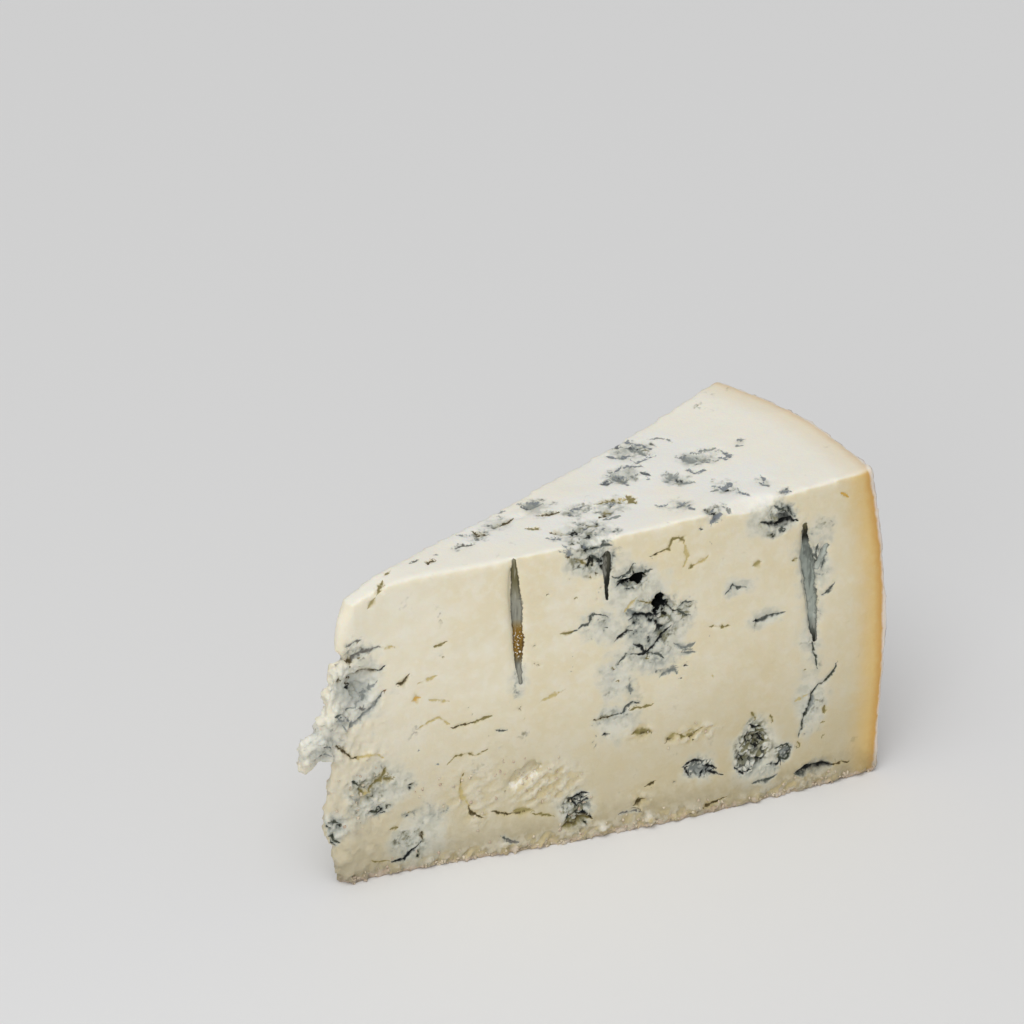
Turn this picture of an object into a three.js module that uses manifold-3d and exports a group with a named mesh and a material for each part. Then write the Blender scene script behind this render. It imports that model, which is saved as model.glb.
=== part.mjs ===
// A wedge of gorgonzola: one slice of a halved wheel of soft blue cheese, lying on its rind base.
// Millimetres, +Z up. The slice is drawn with its point at x = 0, its rind towards +X and its front
// cut on the -Y side, and is moved at the end so that the origin is the middle of its footprint.
import * as THREE from "three";
import { mergeVertices } from "three/addons/utils/BufferGeometryUtils.js";
import Module from "manifold-3d";

const wasm = await Module();
wasm.setup();

// Driving dimensions of the slice
const WHEEL_RADIUS = 145;
const HALF_ANGLE = THREE.MathUtils.degToRad(13.4);
const TIP_HEIGHT = 86.5;
const RIND_HEIGHT = 93.5;
const TOP_DISH = 2.5;
const TIP_DROOP = 4;
const TIP_DROOP_SHARE = 0.12;

// How the soft paste has slumped out of its straight cuts
const RIND_SPREAD = 5.6;
const RIND_BELLY = 1.6;
const RIND_CROWN = 1.6;
const FACE_BELLY = 1;
const BASE_FLARE = 3.4;
const TIP_HALF_WIDTH = 2.6;
const TIP_NOSE = 3.6;
const TIP_SPREAD = 3.2;
const TIP_BELLY = 2.8;
const TIP_BELLY_HEIGHT = 22;
const TIP_BELLY_REACH = 8;

// Unevenness of the skin: how high it is and how far apart its waves are
const CUT_RIPPLE = 0.35;
const RIND_RIPPLE = 0.9;
const RIPPLE_PITCH = 5.5;
const RIND_DEPTH = 6;

// How craggy the sides of each kind of hollow or lump are, as a share of its radius
const CRAGGINESS = { hollow: 0.5, crack: 0.4, pit: 0.4, bite: 0.25, lump: 0.6, crumb: 0.3 };

// Cells of the slice's skin from point to rind, from cut to cut and from base to top,
// closer together towards the point
const CELLS = { along: 30, across: 8, up: 16 };
const CELL_CROWDING = 1.2;
const MERGE_DISTANCE = 1e-4;

// Needle channels that a cut has opened: the wheel was pierced so that the mould could breathe
const FRONT_CHANNELS = [
  { run: 45, middle: 67.5, length: 38, width: 3.4, lean: 3 },
  { run: 70.5, middle: 77, length: 19, width: 2.6, lean: 2 },
  { run: 128.5, middle: 61, length: 42, width: 4.6, lean: 7 },
  { run: 131, middle: 68, length: 18, width: 2.6, lean: -7 },
];
const BACK_CHANNELS = [
  { run: 58, middle: 62, length: 40, width: 3.2, lean: -2 },
  { run: 101, middle: 70, length: 34, width: 3.8, lean: 4 },
];

// Open hollows: half length along the face, half height, depth and tilt in degrees. The blunt point
// stands outside the line of the cut, so a hollow there lies further out.
const FRONT_HOLLOWS = [
  { run: 84.8, rise: 65.4, half: 1.8, tall: 3.2, deep: 6, tilt: -10 },
  { run: 87.6, rise: 64.4, half: 2.9, tall: 1.1, deep: 5, tilt: -38 },
  { run: 81.2, rise: 62.6, half: 3.6, tall: 1, deep: 4, tilt: 0 },
  { run: 79, rise: 74, half: 4.2, tall: 1.6, deep: 4, tilt: 12 },
  { run: 120.4, rise: 82.8, half: 2.9, tall: 1.2, deep: 4, tilt: 6 },
  { run: 132, rise: 5.2, half: 5.2, tall: 1.2, deep: 4, tilt: 4 },
  { run: 62, rise: 11, half: 2.8, tall: 1.7, deep: 2.5, tilt: 0 },
  { run: 62, rise: 4.8, half: 3.2, tall: 1.4, deep: 2.5, tilt: 12 },
  { run: 80, rise: 6, half: 1.4, tall: 1.6, deep: 1.6, tilt: 0 },
  { run: 6, rise: 27, half: 1.9, tall: 2.2, deep: 2, tilt: 0 },
  { run: 3.6, rise: 59.4, half: 4.2, tall: 3.8, deep: 3, tilt: 10, out: 2 },
  { run: 115, rise: 19, half: 2.2, tall: 2.6, deep: 1.8, tilt: 30 },
  { run: 47, rise: 22, half: 7, tall: 3.4, deep: 1.5, tilt: 18 },
  { run: 56, rise: 17.5, half: 5, tall: 2.6, deep: 1.6, tilt: 30 },
];
const BACK_HOLLOWS = [
  { run: 40, rise: 34, half: 4.5, tall: 1.6, deep: 4, tilt: -12 },
  { run: 84, rise: 22, half: 3.2, tall: 2.2, deep: 3, tilt: 10 },
  { run: 92, rise: 52, half: 6, tall: 1.8, deep: 5, tilt: 8 },
  { run: 122, rise: 15, half: 4.6, tall: 1.3, deep: 3.5, tilt: -4 },
];

// Cracks where the paste has torn, each from one [run, rise] to another
const FRONT_CRACKS = [
  { from: [18, 43.5], to: [29, 40.5], width: 0.9 },
  { from: [28, 40], to: [40, 41.5], width: 1.2 },
  { from: [-4, 44], to: [1.5, 37.5], width: 1.3 },
  { from: [1, 38], to: [8.5, 36], width: 0.9 },
  { from: [29.5, 25], to: [30.5, 16], width: 1 },
  { from: [30, 16.5], to: [40, 12], width: 1.2 },
  { from: [39, 12.2], to: [50, 10.2], width: 1.6 },
  { from: [10, 4.2], to: [19, 11], width: 1.2 },
  { from: [68, 34], to: [80, 37], width: 0.8 },
  { from: [78, 29], to: [90, 25], width: 1.2 },
  { from: [89, 24.5], to: [102, 25.5], width: 1.4 },
  { from: [127, 16], to: [129.5, 28], width: 1 },
  { from: [129.5, 27.5], to: [138, 36], width: 0.9 },
  { from: [113, 54.4], to: [121, 55.6], width: 1.2 },
  { from: [98, 3], to: [105, 3.6], width: 1 },
];
const BACK_CRACKS = [
  { from: [20, 58], to: [36, 52], width: 1.1 },
  { from: [62, 34], to: [78, 37], width: 1 },
  { from: [70, 14], to: [84, 11], width: 1.3 },
  { from: [108, 44], to: [120, 50], width: 1 },
];
const CRACK_DEPTH = 2.6;

// Pits that the cut top shows over its veins: [x, y, half width]
const TOP_PITS = [
  [57, 7, 2.2],
  [62, -6, 2.6],
  [84, -3, 2],
  [90, 8, 2.4],
  [101, -2, 2.8],
  [111, 4, 3],
  [100, 17, 2.2],
  [107, -15, 2.2],
  [117, -18, 1.8],
];
const TOP_PIT_DEPTH = 1;

// Where the front top edge has been eaten away: middle, half length and dip
const EDGE_BITES = [
  { run: 65, half: 11, dip: 2 },
  { run: 110, half: 12, dip: 2.4 },
];

// The flake of mouldy curd that hangs from the point: its ragged outline as [x, z]
const TIP_FLAKE = [
  [-1.5, 68],
  [-5.6, 66.4],
  [-6, 62.5],
  [-7, 59.2],
  [-7.5, 55.3],
  [-7, 52.6],
  [-9.4, 51.6],
  [-9, 49.4],
  [-11, 47],
  [-14.4, 45.6],
  [-15, 43],
  [-13.6, 41.6],
  [-15.5, 39],
  [-14.4, 37],
  [-11.4, 38.4],
  [-10, 40.2],
  [-8.2, 38.6],
  [-5.4, 38.4],
  [0, 36],
  [3, 50],
  [2, 66],
];
const FLAKE_THICKNESS = 4.6;
const FLAKE_BEVEL = 1.1;

// Lumps of curd on the flake: [x, y, z, radius]
const TIP_LUMPS = [
  [-4, -2, 63, 2.2],
  [-4.4, 1.8, 57, 2.6],
  [-5.4, -2, 52, 2.4],
  [-9, -1.6, 45.6, 2.6],
  [-10, 1.6, 43, 2.4],
  [-12.6, -1, 41.4, 1.9],
  [-5, -2, 40, 2],
];
const TIP_NOTCHES = [
  { run: -4, rise: 68.2, half: 3.4, tall: 1.1, deep: 6, tilt: 10 },
  { run: -9, rise: 35.2, half: 3.6, tall: 1.2, deep: 6, tilt: -4 },
];

// Crumbs of rind that stick out along the base
const CRUMB_SPACING = 9;
const CRUMB_RADIUS = { least: 0.7, most: 1.5 };

// Smooth, repeatable unevenness between -1 and 1.
function ripple(x, y, z, phase) {
  const along = Math.sin(x + phase + 1.3 * Math.sin(0.7 * y + phase));
  const across = Math.sin(1.1 * y + 2 * phase + 1.1 * Math.sin(0.8 * z));
  const upward = Math.sin(0.9 * z + 3 * phase + 1.2 * Math.sin(0.6 * x));
  return (along + across + upward) / 3;
}

// A repeatable random number between 0 and 1 for each whole number.
function chance(index) {
  const wave = Math.sin(index * 127.1 + 11.7) * 43758.5453;
  return wave - Math.floor(wave);
}

// The height of the cut top at a share of the way from the point to the rind.
function topHeight(along) {
  const sloped = THREE.MathUtils.lerp(TIP_HEIGHT, RIND_HEIGHT, along);
  const droop = TIP_DROOP * Math.max(0, 1 - along / TIP_DROOP_SHARE) ** 2;
  return sloped - droop - TOP_DISH * 4 * along * (1 - along);
}

// How far the blunt point stands out beyond the line where the two cuts would meet.
function noseReach(up) {
  const rounded = TIP_NOSE * Math.sqrt(1 - Math.abs(2 * up - 1) ** 6);
  const fromBelly = (up * TIP_HEIGHT - TIP_BELLY_HEIGHT) / TIP_BELLY_REACH;
  return rounded + TIP_SPREAD * (1 - up) + TIP_BELLY * Math.exp(-(fromBelly ** 2));
}

// A point of the slice: along from point to rind, across from cut to cut, up from base to top.
function slicePoint(along, across, up) {
  const angle = across * HALF_ANGLE;
  const spread = RIND_SPREAD * (1 - up ** 3) + RIND_BELLY * Math.sin(Math.PI * up);
  const rindRadius = WHEEL_RADIUS + spread + RIND_CROWN * (1 - across ** 2);
  const tipX = -noseReach(up) * Math.sqrt(1 - across ** 2);
  const slump = (FACE_BELLY * (1 - up) + BASE_FLARE * (1 - up) ** 8) * Math.sin(Math.PI * along);
  const halfWidth = Math.hypot(TIP_HALF_WIDTH, along * rindRadius * Math.sin(HALF_ANGLE)) + slump;
  const x = THREE.MathUtils.lerp(tipX, rindRadius * Math.cos(angle), along);
  const y = (halfWidth * Math.sin(angle)) / Math.sin(HALF_ANGLE);
  return new THREE.Vector3(x, y, up * topHeight(along));
}

// Moves a skin point by the unevenness of its place, and keeps the base flat.
function roughen(point, up) {
  const radius = Math.hypot(point.x, point.y);
  const inRind = THREE.MathUtils.smoothstep(radius, WHEEL_RADIUS - RIND_DEPTH, WHEEL_RADIUS);
  const height = THREE.MathUtils.lerp(CUT_RIPPLE, RIND_RIPPLE, inRind);
  const [x, y, z] = point.toArray().map((value) => value / RIPPLE_PITCH);
  point.x += height * ripple(x, y, z, 0.4);
  point.y += height * ripple(x, y, z, 1.9);
  point.z += up > 0 ? height * up * ripple(x, y, z, 3.1) : 0;
  return point;
}

// A closed geometry as a solid that can be joined and cut.
function solidOf(geometry) {
  const bare = geometry.clone();
  bare.deleteAttribute("normal");
  bare.deleteAttribute("uv");
  const merged = mergeVertices(bare, MERGE_DISTANCE);
  const vertProperties = merged.attributes.position.array;
  const triVerts = new Uint32Array(merged.index.array);
  return new wasm.Manifold(new wasm.Mesh({ numProp: 3, vertProperties, triVerts }));
}

// A solid's surface as a geometry that three.js can draw.
function geometryOf(solid) {
  const mesh = solid.getMesh();
  const geometry = new THREE.BufferGeometry();
  geometry.setAttribute("position", new THREE.BufferAttribute(mesh.vertProperties, 3));
  geometry.setIndex(new THREE.BufferAttribute(mesh.triVerts, 1));
  return geometry;
}

// The slice's skin: a box whose cells are bent into the wedge.
function sliceGeometry() {
  const { along, across, up } = CELLS;
  const geometry = new THREE.BoxGeometry(1, 2, 1, along, across, up);
  const position = geometry.attributes.position;
  for (let i = 0; i < position.count; i++) {
    const share = { along: (position.getX(i) + 0.5) ** CELL_CROWDING, up: position.getZ(i) + 0.5 };
    const point = roughen(slicePoint(share.along, position.getY(i), share.up), share.up);
    position.setXYZ(i, point.x, point.y, point.z);
  }
  return geometry;
}

// A ball with a craggy skin, of radius 1.
function cragGeometry(detail, seed, roughness) {
  const geometry = new THREE.IcosahedronGeometry(1, detail);
  const position = geometry.attributes.position;
  for (let i = 0; i < position.count; i++) {
    const [x, y, z] = [position.getX(i), position.getY(i), position.getZ(i)];
    const reach = 1 + roughness * ripple(3 * x, 3 * y, 3 * z, seed);
    position.setXYZ(i, reach * x, reach * y, reach * z);
  }
  return geometry;
}

// A pierced channel: a long spindle, of length 1 and width 1, that stands on Z.
function channelGeometry() {
  const profile = [
    [0, -0.5],
    [0.3, -0.3],
    [0.46, 0],
    [0.5, 0.22],
    [0.34, 0.42],
    [0, 0.5],
  ];
  const sides = 9;
  const spindle = new THREE.LatheGeometry(profile.map(([r, h]) => new THREE.Vector2(r, h)), sides);
  return spindle.rotateX(Math.PI / 2);
}

// Groups that stand on the slice's three cut faces, with local X along the face and Z up
const frontCut = new THREE.Group();
frontCut.rotation.z = -HALF_ANGLE;
const backCut = new THREE.Group();
backCut.rotation.z = HALF_ANGLE;
const topCut = new THREE.Group();

// Puts a tool of a given size on a face and gives its solid in the slice's own space.
function toolOn(face, geometry, place, size, tilt = 0) {
  const tool = new THREE.Mesh(geometry);
  tool.position.set(...place);
  tool.scale.set(...size);
  tool.rotation.y = -tilt;
  face.add(tool);
  face.updateMatrixWorld(true);
  return solidOf(geometry.clone().applyMatrix4(tool.matrixWorld));
}

function channelTool(face, { run, middle, length, width, lean }) {
  const tilt = THREE.MathUtils.degToRad(lean);
  return toolOn(face, channelGeometry(), [run, 0, middle], [width, width, length], tilt);
}

function hollowTool(face, { run, rise, half, tall, deep, tilt, out = 0 }, seed) {
  const crag = cragGeometry(1, seed, CRAGGINESS.hollow);
  return toolOn(face, crag, [run, -out, rise], [half, deep, tall], THREE.MathUtils.degToRad(tilt));
}

function crackTool(face, { from, to, width }, seed) {
  const [runStep, riseStep] = [to[0] - from[0], to[1] - from[1]];
  const place = [(from[0] + to[0]) / 2, 0, (from[1] + to[1]) / 2];
  const size = [Math.hypot(runStep, riseStep) / 2, CRACK_DEPTH, width / 2];
  const crag = cragGeometry(1, seed, CRAGGINESS.crack);
  return toolOn(face, crag, place, size, Math.atan2(riseStep, runStep));
}

function topPitTool([x, y, half], seed) {
  const crag = cragGeometry(1, seed, CRAGGINESS.pit);
  const height = topHeight(Math.hypot(x, y) / WHEEL_RADIUS);
  return toolOn(topCut, crag, [x, y, height], [half, half * 0.7, TOP_PIT_DEPTH]);
}

function edgeBiteTool({ run, half, dip }, seed) {
  const crag = cragGeometry(1, seed, CRAGGINESS.bite);
  const height = topHeight(run / WHEEL_RADIUS);
  return toolOn(frontCut, crag, [run, -dip, height + dip], [half, 3 * dip, 2 * dip]);
}

function tipLump([x, y, z, radius], seed) {
  const crag = cragGeometry(1, seed, CRAGGINESS.lump);
  return toolOn(topCut, crag, [x, y, z], [radius, radius * 0.8, radius]);
}

// The flake, standing across the point, with its thickness along Y.
function tipFlake() {
  const outline = new THREE.Shape(TIP_FLAKE.map(([x, z]) => new THREE.Vector2(x, z)));
  const geometry = new THREE.ExtrudeGeometry(outline, {
    depth: FLAKE_THICKNESS - 2 * FLAKE_BEVEL,
    bevelThickness: FLAKE_BEVEL,
    bevelSize: FLAKE_BEVEL,
    bevelOffset: -FLAKE_BEVEL,
    bevelSegments: 2,
  });
  geometry.translate(0, 0, FLAKE_BEVEL - FLAKE_THICKNESS / 2);
  return solidOf(geometry.rotateX(Math.PI / 2));
}

// Crumbs along the two long edges of the base, each resting on the ground.
function baseCrumbs() {
  const crumbs = [];
  for (const side of [-1, 1]) {
    const count = Math.floor(WHEEL_RADIUS / CRUMB_SPACING);
    for (let i = 1; i < count; i++) {
      const seed = i + (side > 0 ? count : 0);
      const radius = THREE.MathUtils.lerp(CRUMB_RADIUS.least, CRUMB_RADIUS.most, chance(seed));
      const edge = slicePoint((i + 0.6 * chance(seed + 0.5)) / count, side, 0);
      const crag = cragGeometry(0, seed, CRAGGINESS.crumb);
      const clearance = radius * (1 + CRAGGINESS.crumb);
      crumbs.push(toolOn(topCut, crag, [edge.x, edge.y, clearance], [radius * 1.3, radius, radius]));
    }
  }
  return crumbs;
}

// The cheese: the slice with its crags and crumbs grown on and its hollows cut out.
function cheeseSolid() {
  const grown = [tipFlake(), ...TIP_LUMPS.map(tipLump), ...baseCrumbs()];
  const cut = [
    ...FRONT_CHANNELS.map((channel) => channelTool(frontCut, channel)),
    ...BACK_CHANNELS.map((channel) => channelTool(backCut, channel)),
    ...FRONT_HOLLOWS.map((hollow, i) => hollowTool(frontCut, hollow, i)),
    ...BACK_HOLLOWS.map((hollow, i) => hollowTool(backCut, hollow, i + 20)),
    ...FRONT_CRACKS.map((crack, i) => crackTool(frontCut, crack, i)),
    ...BACK_CRACKS.map((crack, i) => crackTool(backCut, crack, i + 30)),
    ...TIP_NOTCHES.map((notch, i) => hollowTool(frontCut, notch, i + 40)),
    ...TOP_PITS.map(topPitTool),
    ...EDGE_BITES.map(edgeBiteTool),
  ];
  const whole = grown.reduce((solid, piece) => solid.add(piece), solidOf(sliceGeometry()));
  const carved = cut.reduce((solid, piece) => solid.subtract(piece), whole);
  // A scrap that a cut has loosened is dropped: the cheese is its largest body.
  return carved.decompose().reduce((most, body) => (body.volume() > most.volume() ? body : most));
}

const geometry = geometryOf(cheeseSolid());
geometry.computeBoundingBox();
const footprint = geometry.boundingBox.getCenter(new THREE.Vector3());
geometry.translate(-footprint.x, -footprint.y, -geometry.boundingBox.min.z);
geometry.computeVertexNormals();

const paste = new THREE.MeshStandardMaterial({ color: 0xe6dcc0, roughness: 0.55, metalness: 0 });
const cheese = new THREE.Mesh(geometry, paste);
cheese.name = "cheese_wedge";

const wedge = new THREE.Group();
wedge.add(cheese);

export default wedge;
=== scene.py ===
import math

import bmesh
import bpy
import numpy as np
from mathutils import Color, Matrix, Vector, noise


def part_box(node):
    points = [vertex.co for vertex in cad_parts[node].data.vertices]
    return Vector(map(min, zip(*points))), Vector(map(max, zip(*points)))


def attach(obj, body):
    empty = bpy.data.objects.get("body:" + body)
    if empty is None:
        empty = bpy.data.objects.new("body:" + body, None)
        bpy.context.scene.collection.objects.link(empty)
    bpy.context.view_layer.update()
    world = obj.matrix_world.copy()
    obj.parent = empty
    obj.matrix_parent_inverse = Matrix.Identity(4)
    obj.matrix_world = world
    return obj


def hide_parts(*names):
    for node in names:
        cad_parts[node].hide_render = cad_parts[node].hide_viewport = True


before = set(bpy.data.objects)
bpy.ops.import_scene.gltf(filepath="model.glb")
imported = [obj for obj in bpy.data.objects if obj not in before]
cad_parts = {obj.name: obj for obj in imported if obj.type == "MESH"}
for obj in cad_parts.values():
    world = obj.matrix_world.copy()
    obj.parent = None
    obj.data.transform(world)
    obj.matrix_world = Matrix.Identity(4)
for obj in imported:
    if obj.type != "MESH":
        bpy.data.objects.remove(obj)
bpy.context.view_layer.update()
scene = bpy.context.scene

# The paste: one slice of a soft blue cheese, cut from its wheel with a wire and still damp.
# The solid has its true form, so its skin is that solid with an even, finer mesh on it,
# halved again where mould, cracks and torn curd need finer relief. Sizes are in millimetres.
MM = 0.001
WELD_GAP = 0.001
SKIN_CELL = 1.04
SKIN_SMOOTHING = 1
SKIN_SOFTNESS = 0.5
APEX_FROM_LOW_X = 15.5
APEX_FROM_LOW_Y = 35.6
HALF_ANGLE = math.radians(13.4)
TIP_HALF_WIDTH = 2.6
TIP_HEIGHT = 86.5
RIND_HEIGHT = 93.5
TOP_DISH = 2.5
WHEEL_RADIUS = 145
RIND_SPREAD = 5.6
RIND_BELLY = 1.6
RIND_CROWN = 1.6
FACE_REACH = 12

low_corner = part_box("cheese_wedge")[0]
apex = np.array([low_corner.x / MM + APEX_FROM_LOW_X, low_corner.y / MM + APEX_FROM_LOW_Y, 0])


def fine_skin(node, name, cell):
    """A copy of a solid, with its surface remade in even quads of one cell's width."""
    mesh = node.data.copy()
    welded = bmesh.new()
    welded.from_mesh(mesh)
    bmesh.ops.remove_doubles(welded, verts=welded.verts, dist=WELD_GAP * MM)
    welded.to_mesh(mesh)
    welded.free()
    skin = bpy.data.objects.new(name, mesh)
    scene.collection.objects.link(skin)
    even = skin.modifiers.new("even", "REMESH")
    even.mode = "VOXEL"
    even.voxel_size = cell * MM
    soft = skin.modifiers.new("soft", "SMOOTH")
    soft.factor = SKIN_SOFTNESS
    soft.iterations = SKIN_SMOOTHING
    seen = skin.evaluated_get(bpy.context.evaluated_depsgraph_get())
    remade = bpy.data.meshes.new_from_object(seen)
    skin.modifiers.clear()
    skin.data = remade
    remade.materials.clear()
    return skin


def points_of(mesh):
    """The mesh's points in millimetres, measured from where the two cuts would meet."""
    flat = np.zeros(len(mesh.vertices) * 3)
    mesh.vertices.foreach_get("co", flat)
    return flat.reshape(-1, 3) / MM - apex


def place_points(mesh, points):
    """Moves the mesh's points to these places, none of them under the base."""
    placed = points + apex
    placed[:, 2] = np.maximum(placed[:, 2], 0)
    mesh.vertices.foreach_set("co", (placed * MM).ravel())
    mesh.update()


def ease(value, start, end):
    """0 before start, 1 after end, and a smooth rise between."""
    share = np.clip((value - start) / (end - start), 0, 1)
    return share * share * (3 - 2 * share)


def top_height(along):
    """Height of the top face at a share of the way from the tip to the rind."""
    slope = TIP_HEIGHT + (RIND_HEIGHT - TIP_HEIGHT) * along
    return slope - 4 * TOP_DISH * along * (1 - along)


def on_front(points):
    """Distance along the front cut, height, and depth under it, out of reach behind the middle."""
    run = points[:, 0] * math.cos(HALF_ANGLE) - points[:, 1] * math.sin(HALF_ANGLE)
    depth = points[:, 0] * math.sin(HALF_ANGLE) + points[:, 1] * math.cos(HALF_ANGLE) + TIP_HALF_WIDTH
    return run, points[:, 2], depth + FACE_REACH * (points[:, 1] > 0)


def on_back(points):
    """The same three measures on the back cut."""
    return on_front(points * (1, -1, 1))


def under_top(points):
    """Depth under the top face."""
    return top_height(points[:, 0] / WHEEL_RADIUS) - points[:, 2]


def under_rind(points):
    """Depth under the rind, towards the wheel's centre."""
    up = np.clip(points[:, 2] / RIND_HEIGHT, 0, 1)
    across = np.arctan2(points[:, 1], points[:, 0]) / HALF_ANGLE
    radius = WHEEL_RADIUS + RIND_SPREAD * (1 - up**3) + RIND_BELLY * np.sin(math.pi * up)
    radius = radius + RIND_CROWN * (1 - np.clip(across, -1, 1) ** 2)
    return radius - np.hypot(points[:, 0], points[:, 1])


cheese = fine_skin(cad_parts["cheese_wedge"], "cheese", SKIN_CELL)

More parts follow.
